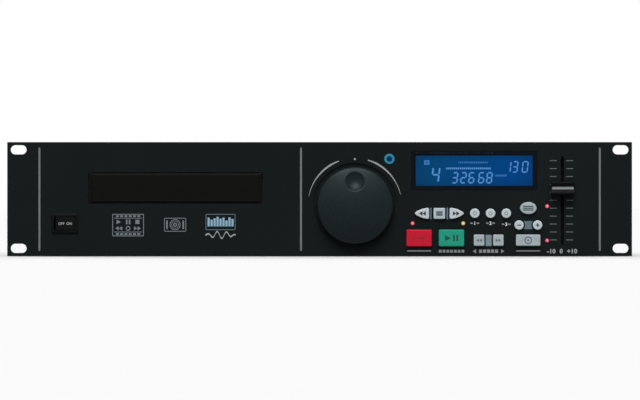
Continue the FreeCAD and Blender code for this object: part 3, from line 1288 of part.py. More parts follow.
def pickup_sled():
    """The sled's deck on its rods, the optics block below, the lens housing and the rack."""
    y0, y1 = SLED_Y - SLED_L / 2, SLED_Y + SLED_L / 2
    deck = box(tray(-SLED_W / 2), tray(SLED_W / 2), y0, y1, SLED_BOTTOM, SLED_TOP)
    optics = box(
        tray(-SLED_OPTICS_W / 2), tray(SLED_OPTICS_W / 2), y0 + 3, y1 - 3,
        SLED_BOTTOM - SLED_OPTICS_DEPTH, SLED_BOTTOM,
    )
    half = LENS_HOUSING_W / 2
    housing = box(tray(-half), tray(half), SLED_Y - 7, SLED_Y + 7, SLED_TOP, SLED_TOP + 2.2)
    back = SLED_RACK_X + DEDENDUM * SLED_RACK_MODULE + 1.2
    bar_end = SLED_RACK_START + SLED_RACK_L
    rack_z = (SLED_RACK_Z, SLED_RACK_Z + SLED_RACK_H)
    teeth = rack(SLED_RACK_MODULE, tray(SLED_RACK_X), tray(back), SLED_RACK_START, bar_end, SLED_GEAR_Y, *rack_z)
    arm = box(tray(back), tray(-SLED_W / 2), SLED_RACK_START, y1, *rack_z)
    spine = box(tray(back), tray(back + 1.6), SLED_RACK_START, bar_end, *rack_z)
    sled = join(deck, optics, housing, teeth, arm, spine)
    bores = [rod_y(tray(s * ROD_X), ROD_Z, ROD_R + RUN_GAP, y0 - 1, y1 + 1) for s in (-1, 1)]
    barrel = rod_z(TRAY_X, SLED_Y, LENS_R + RUN_GAP, SLED_TOP - 1, SLED_TOP + 5)
    return cut(sled, barrel, *bores)


def objective_lens():
    """The lens in its barrel, free to focus up and down."""
    barrel = rod_z(TRAY_X, SLED_Y, LENS_R, SLED_TOP - 1 + LENS_FOCUS + 0.1, SLED_TOP + 3.2)
    crown = Part.makeSphere(LENS_R * 1.4, V(TRAY_X, SLED_Y, SLED_TOP + 3.2 - LENS_R * 1.1))
    keep = rod_z(TRAY_X, SLED_Y, LENS_R * 0.8, SLED_TOP + 2.5, SLED_TOP + 6)
    return join(barrel, crown.common(keep))


def sled_gear():
    small = gear(SLED_RACK_MODULE, SLED_GEAR_TEETH, 0, SLED_RACK_Z, SLED_WHEEL_Z)
    meet = math.pi / 2 + math.pi / SLED_WHEEL_TEETH
    large = gear(SLED_WHEEL_MODULE, SLED_WHEEL_TEETH, meet, SLED_WHEEL_Z, SLED_WHEEL_Z + 1.6)
    bore = rod_z(0, 0, SLED_PIN_R + RUN_GAP, SLED_RACK_Z - 1, SLED_WHEEL_Z + 3)
    return moved(cut(join(small, large), bore), tray(SLED_GEAR_X), SLED_GEAR_Y, 0)


def sled_pinion():
    teeth = gear(SLED_WHEEL_MODULE, SLED_PINION_TEETH, -math.pi / 2, SLED_WHEEL_Z - 0.4, SLED_WHEEL_Z + 2)
    shaft = rod_z(0, 0, MOTOR_SHAFT_R, CHASSIS_PLATE_Z - SLED_MOTOR_H + 3, SLED_WHEEL_Z)
    return moved(join(teeth, shaft), tray(SLED_GEAR_X), sled_pinion_y(), 0)


def sled_motor():
    return motor_can(
        tray(SLED_GEAR_X), sled_pinion_y(), CHASSIS_PLATE_Z, SLED_MOTOR_R, SLED_MOTOR_H, MOTOR_SHAFT_R
    )


# ================================================================ jog wheel
def jog_wheel():
    """A hollow wheel with a domed face, a rounded rim, a finger dimple and a hub for its shaft."""
    face_y = FRONT - JOG_PROUD
    back_y = FRONT + JOG_RECESS_DEPTH - JOG_BACK_GAP
    dome_centre = V(JOG_X, face_y + JOG_DOME_R, JOG_Z)
    wheel = moved(domed_rod(back_y - face_y), JOG_X, face_y, JOG_Z)
    cavity = rod_y(JOG_X, JOG_Z, JOG_R - JOG_SHELL, face_y + JOG_FACE_T, back_y + 1)
    hub = rod_y(JOG_X, JOG_Z, JOG_HUB_R, face_y + JOG_FACE_T - 0.5, back_y)
    ribs = [turned(box(JOG_X - 0.8, JOG_X + 0.8, face_y + JOG_FACE_T - 0.5, back_y - 2,
                       JOG_Z + JOG_HUB_R - 1, JOG_Z + JOG_R - JOG_SHELL + 0.5),
                   V(JOG_X, 0, JOG_Z), Y_AXIS, 60 * k) for k in range(6)]
    wheel = join(cut(wheel, cavity), hub, *ribs)
    socket = rod_y(JOG_X, JOG_Z, JOG_SHAFT_R, face_y + JOG_FACE_T, back_y + 1)
    lean = math.degrees(math.asin(DIMPLE_OFFSET / JOG_DOME_R))
    dimple = moved(dimple_cutter(), JOG_X, face_y, JOG_Z)
    return cut(wheel, socket, turned(dimple, dome_centre, X_AXIS, -lean))


def domed_rod(length):
    """The wheel's outer form from the dome's middle at the origin: the dome runs into a round rim."""
    inner = JOG_DOME_R - JOG_EDGE_R
    lean = math.asin((JOG_R - JOG_EDGE_R) / inner)
    rim = V(inner * math.sin(lean), JOG_DOME_R - inner * math.cos(lean), 0)

    def on_dome(angle):
        return V(JOG_DOME_R * math.sin(angle), JOG_DOME_R * (1 - math.cos(angle)), 0)

    def on_rim(angle):
        return V(rim.x + JOG_EDGE_R * math.sin(angle), rim.y - JOG_EDGE_R * math.cos(angle), 0)

    side, corner, centre = on_rim(math.pi / 2), V(JOG_R, length, 0), V(0, length, 0)
    edges = [
        arc(on_dome(0), on_dome(lean / 2), on_dome(lean)),
        arc(on_dome(lean), on_rim((lean + math.pi / 2) / 2), side),
        line(side, corner), line(corner, centre), line(centre, on_dome(0)),
    ]
    return Part.Face(Part.Wire(edges)).revolve(V(0, 0, 0), Y_AXIS, 360)


def dimple_cutter():
    """A ball that leaves a hollow with a round lip at the dome's middle; ball, lip and dome are tangent."""
    rim = math.asin(DIMPLE_R / JOG_DOME_R)
    lip = V((JOG_DOME_R - DIMPLE_LIP) * math.sin(rim), JOG_DOME_R - (JOG_DOME_R - DIMPLE_LIP) * math.cos(rim), 0)
    ball_r = (lip.x**2 + (lip.y - DIMPLE_DEPTH) ** 2 - DIMPLE_LIP**2) / (2 * (DIMPLE_LIP + DIMPLE_DEPTH - lip.y))
    ball_y = DIMPLE_DEPTH - ball_r
    lean = math.atan2(lip.x, lip.y - ball_y)

    def on_ball(angle):
        return V(ball_r * math.sin(angle), ball_y + ball_r * math.cos(angle), 0)

    def on_lip(angle):
        return V(lip.x + DIMPLE_LIP * math.sin(angle), lip.y - DIMPLE_LIP * math.cos(angle), 0)

    edge = on_lip(rim)
    top, centre = V(edge.x, -3, 0), V(0, -3, 0)
    edges = [
        arc(on_ball(0), on_ball(lean / 2), on_ball(lean)), arc(on_lip(-lean), on_lip((rim - lean) / 2), edge),
        line(edge, top), line(top, centre), line(centre, on_ball(0)),
    ]
    return Part.Face(Part.Wire(edges)).revolve(V(0, 0, 0), Y_AXIS, 360)


def jog_shaft():
    """The steel shaft pressed into the wheel's hub."""
    start = FRONT - JOG_PROUD + JOG_FACE_T
    return rod_y(JOG_X, JOG_Z, JOG_SHAFT_R, start, start + JOG_SHAFT_L)


def jog_encoder():
    """The encoder on the control board, with the bushing that the jog shaft turns in."""
    shaft_end = FRONT - JOG_PROUD + JOG_FACE_T + JOG_SHAFT_L
    body = block(JOG_X, JOG_Z, ENCODER_W, ENCODER_W, SEAT_GAP, CONTROL_BOARD_Y)
    bushing = rod_y(JOG_X, JOG_Z, BUSHING_R, FRONT + JOG_RECESS_DEPTH, SEAT_GAP)
    bore = rod_y(JOG_X, JOG_Z, JOG_SHAFT_R + RUN_GAP, FRONT, shaft_end + 0.5)
    return cut(join(body, bushing), bore)


# ================================================================ power switch
def power_switch_body():
    half_in = ROCKER_W / 2 + ROCKER_SIDE_GAP
    front = FRONT - POWER_BEZEL_PROUD
    bezel = extrude(rounded_rectangle(POWER_X, POWER_Z, POWER_BEZEL_W, POWER_BEZEL_H, 1.0), front, FRONT)
    bezel = bezel.makeFillet(0.6, edges_at_y(bezel, front))
    body = block(POWER_X, POWER_Z, POWER_BODY_W, POWER_BODY_H, FRONT, POWER_BODY_DEPTH)
    well = block(POWER_X, POWER_Z, 2 * half_in, ROCKER_H + 0.8, front - 1, 8.0)
    pins = rod_z(
        POWER_X, ROCKER_PIVOT_Y, ROCKER_PIN_R + RUN_GAP, POWER_Z - ROCKER_H / 2 - 1, POWER_Z + ROCKER_H / 2 + 1
    )
    tabs = [block(POWER_X + x, POWER_Z, 0.8, 4.8, POWER_BODY_DEPTH, POWER_BODY_DEPTH + 7) for x in (-5, 5)]
    return join(cut(join(bezel, body), well, pins), *tabs)


def power_rocker():
    """The rocker, with a shallow V front and a round underside, tilted to its on position."""
    half = ROCKER_W / 2
    ends = ROCKER_PIVOT_Y - ROCKER_REACH
    z0 = POWER_Z - ROCKER_H / 2
    under = 6.5
    side_y = ROCKER_PIVOT_Y - 0.5
    points = [V(-half, side_y, 0), V(-half, ends, 0), V(0, ends + ROCKER_DIP, 0), V(half, ends, 0), V(half, side_y, 0)]
    edges = [line(a, b) for a, b in zip(points, points[1:])]
    edges.append(arc(points[-1], V(0, ROCKER_PIVOT_Y + under, 0), points[0]))
    rocker = Part.Face(Part.Wire(edges)).extrude(V(0, 0, ROCKER_H))
    tips = [e for e in edges_along(rocker, Z_AXIS) if e.BoundBox.YMin < ends + 0.1]
    rocker = rocker.makeFillet(0.7, tips)
    rocker = moved(rocker, POWER_X, 0, z0)
    pins = rod_z(POWER_X, ROCKER_PIVOT_Y, ROCKER_PIN_R, z0 - 0.9, z0 + ROCKER_H + 0.9)
    return turned(join(rocker, pins), V(POWER_X, ROCKER_PIVOT_Y, 0), Z_AXIS, ROCKER_TILT)


# ================================================================ display, lamps and fader
def display_bezel():
    """The black frame round the display, with a flange that holds it from behind."""
    front = FRONT + DISPLAY_SUNK
    skirt = extrude(rounded_rectangle(DISPLAY_X, DISPLAY_Z, DISPLAY_W, DISPLAY_H, 0.8), front, 0)
    flange = block(DISPLAY_X, DISPLAY_Z, DISPLAY_W + 2.4, DISPLAY_H + 2.4, 0, 1)
    inside = block(
        DISPLAY_X, DISPLAY_Z, DISPLAY_W - 2 * DISPLAY_WALL, DISPLAY_H - 2 * DISPLAY_WALL, front + DISPLAY_FRONT_T, 2
    )
    view = block(DISPLAY_X, DISPLAY_Z, DISPLAY_VIEW_W, DISPLAY_VIEW_H, front - 1, front + 2)
    bevel = Part.makeWedge(
        0, 0, 0, DISPLAY_BEVEL, DISPLAY_BEVEL,
        DISPLAY_VIEW_W + 2 * DISPLAY_BEVEL, DISPLAY_BEVEL, DISPLAY_VIEW_H + 2 * DISPLAY_BEVEL,
        DISPLAY_VIEW_W + DISPLAY_BEVEL, DISPLAY_VIEW_H + DISPLAY_BEVEL,
    )
    bevel.translate(
        V(DISPLAY_X - DISPLAY_VIEW_W / 2 - DISPLAY_BEVEL, front, DISPLAY_Z - DISPLAY_VIEW_H / 2 - DISPLAY_BEVEL)
    )
    return cut(join(skirt, flange), inside, view, bevel)


def lcd_module():
    """The glass of the display and the backlight frame behind it."""
    w = DISPLAY_W - 2 * DISPLAY_WALL - 0.4
    h = DISPLAY_H - 2 * DISPLAY_WALL - 0.4
    glass_front = FRONT + DISPLAY_SUNK + DISPLAY_FRONT_T + SEAT_GAP
    glass = block(DISPLAY_X, DISPLAY_Z, w, h, glass_front, glass_front + GLASS_T)
    backlight = block(DISPLAY_X, DISPLAY_Z, w, h, glass_front + GLASS_T, CONTROL_BOARD_Y)
    return Part.makeCompound([glass, backlight])


def lamp_points():
    return [
        (CUE_LAMP_X, LAMP_ROW_Z),
        (PLAY_LAMP_X, LAMP_ROW_Z),
        (FADER_LAMP_X, FADER_LAMP_HIGH_Z),
        (FADER_LAMP_X, FADER_LAMP_LOW_Z),
    ]


def status_lamps():
    """Four light-emitting diodes with their leads."""
    made = []
    for x, z in lamp_points():
        lens = rod_y(x, z, LAMP_R, FRONT - LAMP_PROUD, SEAT_GAP)
        lens = lens.makeFillet(LAMP_PROUD, edges_at_y(lens, FRONT - LAMP_PROUD))
        flange = rod_y(x, z, LAMP_FLANGE_R, SEAT_GAP, SEAT_GAP + 1)
        leads = [block(x + s * 1.27, z, LAMP_LEAD, LAMP_LEAD, 1, CONTROL_BOARD_Y) for s in (-1, 1)]
        made.append(join(lens, flange, *leads))
    return Part.makeCompound(made)


def fader_cap():
    """The fader's cap: waisted by a scoop along its front, with a socket for the lever."""
    front = FADER_CAP_BACK - FADER_CAP_T
    cap = block(FADER_X, FADER_CAP_Z, FADER_CAP_W, FADER_CAP_H, front, FADER_CAP_BACK)
    cap = cap.makeFillet(FADER_CAP_EDGE, edges_at_y(cap, front) + edges_along(cap, Y_AXIS))
    half = FADER_CAP_H / 2 - 1.2
    scoop_r = (half**2 + FADER_CAP_SCOOP**2) / (2 * FADER_CAP_SCOOP)
    scoop = rod_x(front + FADER_CAP_SCOOP - scoop_r, FADER_CAP_Z, scoop_r,
                  FADER_X - FADER_CAP_W, FADER_X + FADER_CAP_W)
    socket = block(FADER_X, FADER_CAP_Z, FADER_LEVER_W, FADER_LEVER_H, FADER_CAP_BACK - FADER_SOCKET_D,
                   FADER_CAP_BACK + 1)
    return cut(cap, scoop, socket)


def fader_lever():
    """The potentiometer's lever with the slider that runs inside the body."""
    y0, y1 = FADER_SLIDER_Y, FADER_SLIDER_Y + FADER_SLIDER_T
    blade = block(FADER_X, FADER_CAP_Z, FADER_LEVER_W, FADER_LEVER_H, FADER_CAP_BACK - FADER_SOCKET_D, y1)
    slider = block(FADER_X, FADER_CAP_Z, FADER_SLIDER_W, FADER_SLIDER_L, y0, y1)
    return join(blade, slider)


def slide_potentiometer():
    """The fader's steel body with the slot for its lever and the track inside."""
    y0 = FADER_BODY_FRONT
    body = block(FADER_X, FADER_Z, FADER_BODY_W, FADER_BODY_L, y0, CONTROL_BOARD_Y)
    slot_l = FADER_TRAVEL + FADER_LEVER_H + 2 * SLIDE_GAP
    slot = block(FADER_X, FADER_Z, FADER_SLOT_W, slot_l, y0 - 1, FADER_SLIDER_Y)
    channel_l = FADER_TRAVEL + FADER_SLIDER_L + 2 * SLIDE_GAP
    channel = block(FADER_X, FADER_Z, FADER_SLIDER_W + 2 * SLIDE_GAP, channel_l,
                    FADER_SLIDER_Y - SLIDE_GAP, FADER_SLIDER_Y + FADER_SLIDER_T + SLIDE_GAP)
    return cut(body, slot, channel)


# ================================================================ boards, transformer, connectors
def control_board():
    """The board behind the panel, with a push switch behind every button."""
    y0, y1 = CONTROL_BOARD_Y, CONTROL_BOARD_Y + BOARD_T
    board = box(CONTROL_BOARD_LEFT, CONTROL_BOARD_RIGHT, y0, y1, -CONTROL_BOARD_H / 2, CONTROL_BOARD_H / 2)
    holes = [rod_y(x, z, SCREW_HOLE_R, y0 - 1, y1 + 1) for x, z in standoff_points()]
    made = [cut(board, *holes)]
    for x, z in switch_points():
        body = block(x, z, SWITCH_W, SWITCH_W, y0 - SWITCH_H, y0)
        made.append(join(body, rod_y(x, z, SWITCH_PLUNGER_R, PLUNGER_TIP, y0 - SWITCH_H)))
    middle, w = (CONTROL_BOARD_LEFT + CONTROL_BOARD_RIGHT) / 2, CONTROL_BOARD_RIGHT - CONTROL_BOARD_LEFT
    header = block(middle - 0.08 * w, -0.05 * CONTROL_BOARD_H, HEADER_L, HEADER_W, y1, y1 + HEADER_H)
    driver = block(middle + 0.14 * w, 0.14 * CONTROL_BOARD_H, DRIVER_W, DRIVER_W, y1, y1 + CHIP_T)
    return Part.makeCompound([*made, header, driver])


def main_board():
    """The board on the floor, with its chips, capacitors, heat sink and sockets for the cables."""
    z0 = FLOOR + MAIN_STANDOFF_H
    z1 = z0 + BOARD_T

    def standing(across, along, w, length, h):
        """A block on the board, its centre this share of the board's width and length from the middle."""
        x, y = MAIN_BOARD_X + across * MAIN_BOARD_W, MAIN_BOARD_Y + along * MAIN_BOARD_L
        return box(x - w / 2, x + w / 2, y - length / 2, y + length / 2, z1, z1 + h)

    board = box(MAIN_BOARD_X - MAIN_BOARD_W / 2, MAIN_BOARD_X + MAIN_BOARD_W / 2,
                MAIN_BOARD_Y - MAIN_BOARD_L / 2, MAIN_BOARD_Y + MAIN_BOARD_L / 2, z0, z1)
    holes = [rod_z(x, y, SCREW_HOLE_R, z0 - 1, z1 + 1) for x, y in main_board_points()]
    made = [
        cut(board, *holes),
        standing(-0.18, -0.17, PROCESSOR_W, PROCESSOR_W, CHIP_T),
        standing(0.08, -0.16, DRIVER_W, DRIVER_W, CHIP_T),
        standing(-0.17, 0.04, MEMORY_L, MEMORY_W, CHIP_T),
        standing(-0.43, -0.18, HEADER_W, HEADER_L, HEADER_H),
        standing(0.13, -0.43, HEADER_L, HEADER_W, HEADER_H),
    ]
    for k in range(CAPACITOR_COUNT):
        y = MAIN_BOARD_Y - 0.19 * MAIN_BOARD_L + (k - (CAPACITOR_COUNT - 1) / 2) * CAPACITOR_PITCH
        x = MAIN_BOARD_X + 0.39 * MAIN_BOARD_W
        made.append(rod_z(x, y, BIG_CAPACITOR_R, z1, z1 + BIG_CAPACITOR_H))
        x = MAIN_BOARD_X + 0.28 * MAIN_BOARD_W
        made.append(rod_z(x, y, SMALL_CAPACITOR_R, z1, z1 + SMALL_CAPACITOR_H))
    plate = standing(0.34, 0.11, SINK_W, SINK_T, SINK_H)
    fins = []
    for k in range(FIN_COUNT):
        x0 = plate.BoundBox.XMin + k * (SINK_W - FIN_T) / (FIN_COUNT - 1)
        fins.append(box(x0, x0 + FIN_T, plate.BoundBox.YMax, plate.BoundBox.YMax + FIN_L, z1, z1 + SINK_H))
    return Part.makeCompound([*made, join(plate, *fins)])


def transformer():
    """A laminated core with its coil, in a strap that is screwed to the floor."""
    x, y = TRANSFORMER_X, TRANSFORMER_Y
    z0 = FLOOR + STRAP_T
    core = box(x - CORE_W / 2, x + CORE_W / 2, y - CORE_D / 2, y + CORE_D / 2, z0, z0 + CORE_H)
    coil = box(x - CORE_W / 3, x + CORE_W / 3, y - COIL_D / 2, y + COIL_D / 2,
               z0 + (CORE_H - COIL_H) / 2, z0 + (CORE_H + COIL_H) / 2)
    coil = coil.makeFillet(COIL_CORNER, edges_along(coil, Z_AXIS))
    windows = cut(coil, core)
    foot_w = CORE_W / 2 + STRAP_TAB
    strap = box(x - foot_w, x + foot_w, y - STRAP_W / 2, y + STRAP_W / 2, FLOOR, z0)
    holes = [rod_z(px, py, SCREW_HOLE_R, FLOOR - 1, z0 + 1) for px, py in transformer_points()]
    return Part.makeCompound([core, *windows.Solids, cut(strap, *holes)])


def mains_inlet():
    """The three-pin inlet, with a flange outside the rear wall."""
    outer = REAR + INLET_FLANGE_T
    body = block(INLET_X, INLET_Z, INLET_BODY_W, INLET_BODY_H, REAR - INLET_DEPTH, REAR)
    flange = extrude(rounded_rectangle(INLET_X, INLET_Z, INLET_FLANGE_W, INLET_FLANGE_H, 4), REAR, outer)
    floor_y = outer - SOCKET_DEPTH
    socket = block(INLET_X, INLET_Z, SOCKET_W, SOCKET_H, floor_y, outer + 1)
    low_corners = [e for e in edges_along(socket, Y_AXIS) if e.BoundBox.ZMin < INLET_Z]
    socket = socket.makeChamfer(SOCKET_CORNER, low_corners)
    holes = [rod_y(x, z, SCREW_HOLE_R, REAR - 1, outer + 1) for x, z in inlet_screw_points()]
    shell = cut(join(body, flange), socket, *holes)
    blades = []
    for dx, dz in ((-BLADE_SPACING / 2, BLADE_RISE), (BLADE_SPACING / 2, BLADE_RISE), (0, -BLADE_RISE)):
        blades.append(block(INLET_X + dx, INLET_Z + dz, BLADE_W, BLADE_H, floor_y - 1, outer - 2))
    return join(shell, *blades)


def audio_sockets():
    """Three coaxial sockets and the remote start socket."""
    made = []
    for x in audio_points():
        barrel = rod_y(x, AUDIO_Z, AUDIO_R, REAR - SHEET_T, REAR + AUDIO_COLLAR_T + AUDIO_L)
        collar = rod_y(x, AUDIO_Z, AUDIO_COLLAR_R, REAR, REAR + AUDIO_COLLAR_T)
        body = block(x, AUDIO_Z, AUDIO_BODY_D, AUDIO_BODY_D, REAR - SHEET_T - AUDIO_BODY_D, REAR - SHEET_T)
        hole = rod_y(x, AUDIO_Z, AUDIO_HOLE_R, REAR - 4, REAR + 20)
        made.append(cut(join(barrel, collar, body), hole))
    end = REAR + START_BARREL_L
    barrel = rod_y(START_X, AUDIO_Z, START_BARREL_R, REAR - SHEET_T, end)
    body = block(START_X, AUDIO_Z, 11, 11, end - START_L - 2, REAR - SHEET_T)
    hole = rod_y(START_X, AUDIO_Z, START_R, end - START_L, end + 1)
    made.append(cut(join(barrel, body), hole))
    return Part.makeCompound(made)


# ================================================================ nodes
NODES = {
    "front_panel": front_panel,
    "chassis_base": chassis_base,
    "top_cover": top_cover,
    "feet": feet,
    "m3_screws": m3_screws,
    "loader_frame": loader_frame,
    "loader_brackets": loader_brackets,
    "clamp_bridge": clamp_bridge,
    "clamper": clamper,
    "disc_tray": disc_tray,
    "tray_bezel": tray_bezel,
    "tray_gear": tray_gear,
    "loading_pulley": loading_pulley,
    "motor_pulley": motor_pulley,
    "drive_belt": drive_belt,
    "loading_motor": loading_motor,
    "cam_slider": cam_slider,
    "lift_frame": lift_frame,
    "pickup_chassis": pickup_chassis,
    "damper_bushes": damper_bushes,
    "spindle_motor": spindle_motor,
    "disc_hub": disc_hub,
    "sled_rods": sled_rods,
    "pickup_sled": pickup_sled,
    "objective_lens": objective_lens,
    "sled_gear": sled_gear,
    "sled_pinion": sled_pinion,
    "sled_motor": sled_motor,
    "jog_wheel": jog_wheel,
    "jog_shaft": jog_shaft,
    "jog_encoder": jog_encoder,
    "power_switch_body": power_switch_body,
    "power_rocker": power_rocker,
    "display_bezel": display_bezel,
    "lcd_module": lcd_module,
    "status_lamps": status_lamps,
    "eject_ring": eject_ring,
    "eject_button": eject_button,
    "fader_cap": fader_cap,
    "fader_lever": fader_lever,
    "slide_potentiometer": slide_potentiometer,
    "control_board": control_board,
    "main_board": main_board,
    "transformer": transformer,
    "mains_inlet": mains_inlet,
    "audio_sockets": audio_sockets,
}


def main():
    os.makedirs("parts", exist_ok=True)
    for name, make in NODES.items():
        make().exportStep(f"parts/{name}.step")
    for name, (x, z, outline) in button_outlines().items():
        button(x, z, outline).exportStep(f"parts/{name}.step")


main()
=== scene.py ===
"""The looks of a two-unit rack disc player: its finishes, printed marks, display, lamps and light."""
import math

import bmesh
import bpy
from mathutils import Matrix, Vector
from mathutils.bvhtree import BVHTree


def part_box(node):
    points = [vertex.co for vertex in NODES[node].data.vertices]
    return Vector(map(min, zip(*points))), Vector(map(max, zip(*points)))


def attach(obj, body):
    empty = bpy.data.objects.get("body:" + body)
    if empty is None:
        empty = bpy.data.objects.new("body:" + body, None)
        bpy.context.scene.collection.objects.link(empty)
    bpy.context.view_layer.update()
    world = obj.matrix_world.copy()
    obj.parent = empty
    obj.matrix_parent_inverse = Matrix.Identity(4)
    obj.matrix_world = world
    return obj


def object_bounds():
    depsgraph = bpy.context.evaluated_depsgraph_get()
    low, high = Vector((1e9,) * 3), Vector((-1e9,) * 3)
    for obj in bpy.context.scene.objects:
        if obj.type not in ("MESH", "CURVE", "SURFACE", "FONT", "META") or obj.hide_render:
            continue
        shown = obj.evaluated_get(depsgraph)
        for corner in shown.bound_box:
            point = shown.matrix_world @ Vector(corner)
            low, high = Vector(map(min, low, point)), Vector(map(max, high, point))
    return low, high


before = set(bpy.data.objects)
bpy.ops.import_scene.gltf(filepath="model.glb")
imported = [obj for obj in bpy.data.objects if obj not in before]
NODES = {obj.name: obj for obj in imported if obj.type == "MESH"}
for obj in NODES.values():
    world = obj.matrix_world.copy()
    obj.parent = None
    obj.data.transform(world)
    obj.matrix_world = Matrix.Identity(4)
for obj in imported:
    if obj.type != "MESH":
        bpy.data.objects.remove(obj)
bpy.context.view_layer.update()
CAD_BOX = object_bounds()

MM = 0.001
WHITE = (1.0, 1.0, 1.0, 1.0)


def middle(node):
    """The x, y and z of the middle of the node's box, in mm."""
    low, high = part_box(node)
    return (low + high) / 2 / MM


def seen(red, green, blue):
    """A colour as it is seen, each part from 0 to 255, in the linear values that shaders take."""
    parts = [v / 255 for v in (red, green, blue)]
    return (*[v / 12.92 if v <= 0.04045 else ((v + 0.055) / 1.055) ** 2.4 for v in parts], 1.0)


def scaled(colour, factor):
    """The colour made lighter or darker by this factor."""
    return (*[min(1.0, v * factor) for v in colour[:3]], 1.0)


# ================================================================ materials
# where the Mix node has its factor and two inputs, and its output, for colours and for vectors
MIX_INPUTS = {"RGBA": (0, 6, 7), "VECTOR": (0, 4, 5)}
MIX_OUTPUT = {"RGBA": 2, "VECTOR": 1}
SPOT_RIM = 0.04  # mm over which an even spot fades into what is round it
WAVE_PHASE = 20  # radians that the wave texture goes through in a metre, at a scale of 1


class Nodes:
    """A node tree, with short calls for what is added to it."""

    def __init__(self, tree):
        self.tree = tree

    def feed(self, value, socket):
        """Sets the socket to this value, or links it where the value is another node's socket."""
        if isinstance(value, bpy.types.NodeSocket):
            self.tree.links.new(value, socket)
        else:
            socket.default_value = value

    def add(self, kind, **inputs):
        """A new node, its inputs fed by their names, with _ for a space."""
        node = self.tree.nodes.new("ShaderNode" + kind)
        for name, value in inputs.items():
            self.feed(value, node.inputs[name.replace("_", " ")])
        return node

    def maths(self, operation, a, b=0.0, kind="Math"):
        """The number that an operation gives for two numbers or, with VectorMath, for two vectors."""
        node = self.add(kind)
        node.operation = operation
        self.feed(a, node.inputs[0])
        self.feed(b, node.inputs[1])
        return node.outputs["Value"]

    def span(self, value, low, high, to_low, to_high):
        """value taken from the range low to high onto the range to_low to to_high."""
        node = self.add("MapRange", Value=value, From_Min=low, From_Max=high, To_Min=to_low, To_Max=to_high)
        return node.outputs["Result"]

    def mix(self, factor, a, b, kind="RGBA"):
        """a where factor is 0 and b where it is 1, for colours or, with VECTOR, for vectors."""
        node = self.add("Mix")
        node.data_type = kind
        for index, value in zip(MIX_INPUTS[kind], (factor, a, b)):
            self.feed(value, node.inputs[index])
        return node.outputs[MIX_OUTPUT[kind]]


class Finish(Nodes):
    """A Principled material under construction. Its lengths are in metres, and its scales are per metre."""

    def __init__(self, name):
        self.material = bpy.data.materials.new(name)
        self.material.use_nodes = True
        super().__init__(self.material.node_tree)
        self.shader = self.tree.nodes["Principled BSDF"]
        self.place = self.add("TexCoord").outputs["Object"]

    def set(self, **values):
        """Feeds sockets of the shader by their names, with _ for a space."""
        for name, value in values.items():
            self.feed(value, self.shader.inputs[name.replace("_", " ")])

    def axis(self, name):
        """The object's X, Y or Z coordinate."""
        return self.add("SeparateXYZ", Vector=self.place).outputs[name]

    def stretched(self, scale):
        """The object's coordinates, multiplied by scale along X, Y and Z."""
        return self.add("Mapping", Scale=scale, Vector=self.place).outputs["Vector"]

    def noise(self, scale, detail, at=None):
        """Noise from 0 to 1, mostly near the middle, over the object's coordinates or those given."""
        return self.add("TexNoise", Scale=scale, Detail=detail, Vector=at or self.place).outputs["Fac"]

    def cells(self, scale, at=None, feature="F1", output="Distance"):
        """Irregular cells: how far their points or edges are, or a colour for each."""
        node = self.add("TexVoronoi", Scale=scale, Vector=at or self.place)
        node.feature = feature
        return node.outputs[output]

    def patches(self, scale, detail, to_low=0, to_high=1):
        """Noise drawn out over the range to_low to to_high."""
        return self.span(self.noise(scale, detail), 0.3, 0.7, to_low, to_high)

    def about(self, scale, detail, centre, reach):
        """Noise that wanders by up to reach to both sides of centre."""
        return self.patches(scale, detail, centre - reach, centre + reach)

    def toned(self, factor, colour, dark, light):
        """The colour times dark where factor is 0, and times light where it is 1."""
        return self.mix(factor, scaled(colour, dark), scaled(colour, light))

    def edges(self, radius):
        """About 1 along the edges, within this radius of them, and 0 on flat faces."""
        bevel = self.add("Bevel", Radius=radius)
        bevel.samples = 4
        flat = self.add("NewGeometry").outputs["True Normal"]
        along = self.maths("DOT_PRODUCT", bevel.outputs["Normal"], flat, "VectorMath")
        return self.span(along, 0.99, 0.75, 0, 1)

    def rubbed(self, tone, worn, radius, share):
        """tone, with this share of the colour along the edges: wear, and on key caps also a painted
        highlight.
        """
        return self.mix(self.maths("MULTIPLY", self.edges(radius), share), tone, worn)

    def even(self, *spots):
        """The surface's normal, with the facets' own one within each of the spots (x, y, z, reach in mm)."""
        inside = 0.0
        for x, y, z, reach in spots:
            away = self.maths("DISTANCE", self.place, (x * MM, y * MM, z * MM), "VectorMath")
            near = self.span(away, (reach - SPOT_RIM) * MM, reach * MM, 1, 0)
            inside = self.maths("MAXIMUM", near, inside)
        surface = self.add("NewGeometry").outputs
        return self.mix(inside, surface["Normal"], surface["True Normal"], "VECTOR")

    def bumps(self, *layers, normal=None):
        """Bump from layers of (height, depth), over a normal where one is given."""
        for height, depth in layers:
            node = self.add("Bump", Distance=depth, Height=height)
            if normal is not None:
                self.feed(normal, node.inputs["Normal"])
            normal = node.outputs["Normal"]
        self.set(Normal=normal)


def moulded(name, colour, rough, grain, depth, gloss, worn=None):
    """Moulded plastic or rubber: a grain of this size and depth, patches of tone, edges rubbed to worn."""
    made = Finish(name)
    tone = made.toned(made.patches(38, 4), colour, 0.9, 1.1)
    if worn:
        tone = made.rubbed(tone, worn, 0.0005, made.span(made.noise(420, 3), 0.42, 0.62, 0.0, 0.7))
    made.set(Base_Color=tone, Roughness=made.about(90, 5, rough, 0.06), Specular_IOR_Level=gloss)
    made.bumps((made.noise(1 / grain, 2), depth), (made.noise(60, 2), depth * 4))
    return made.material


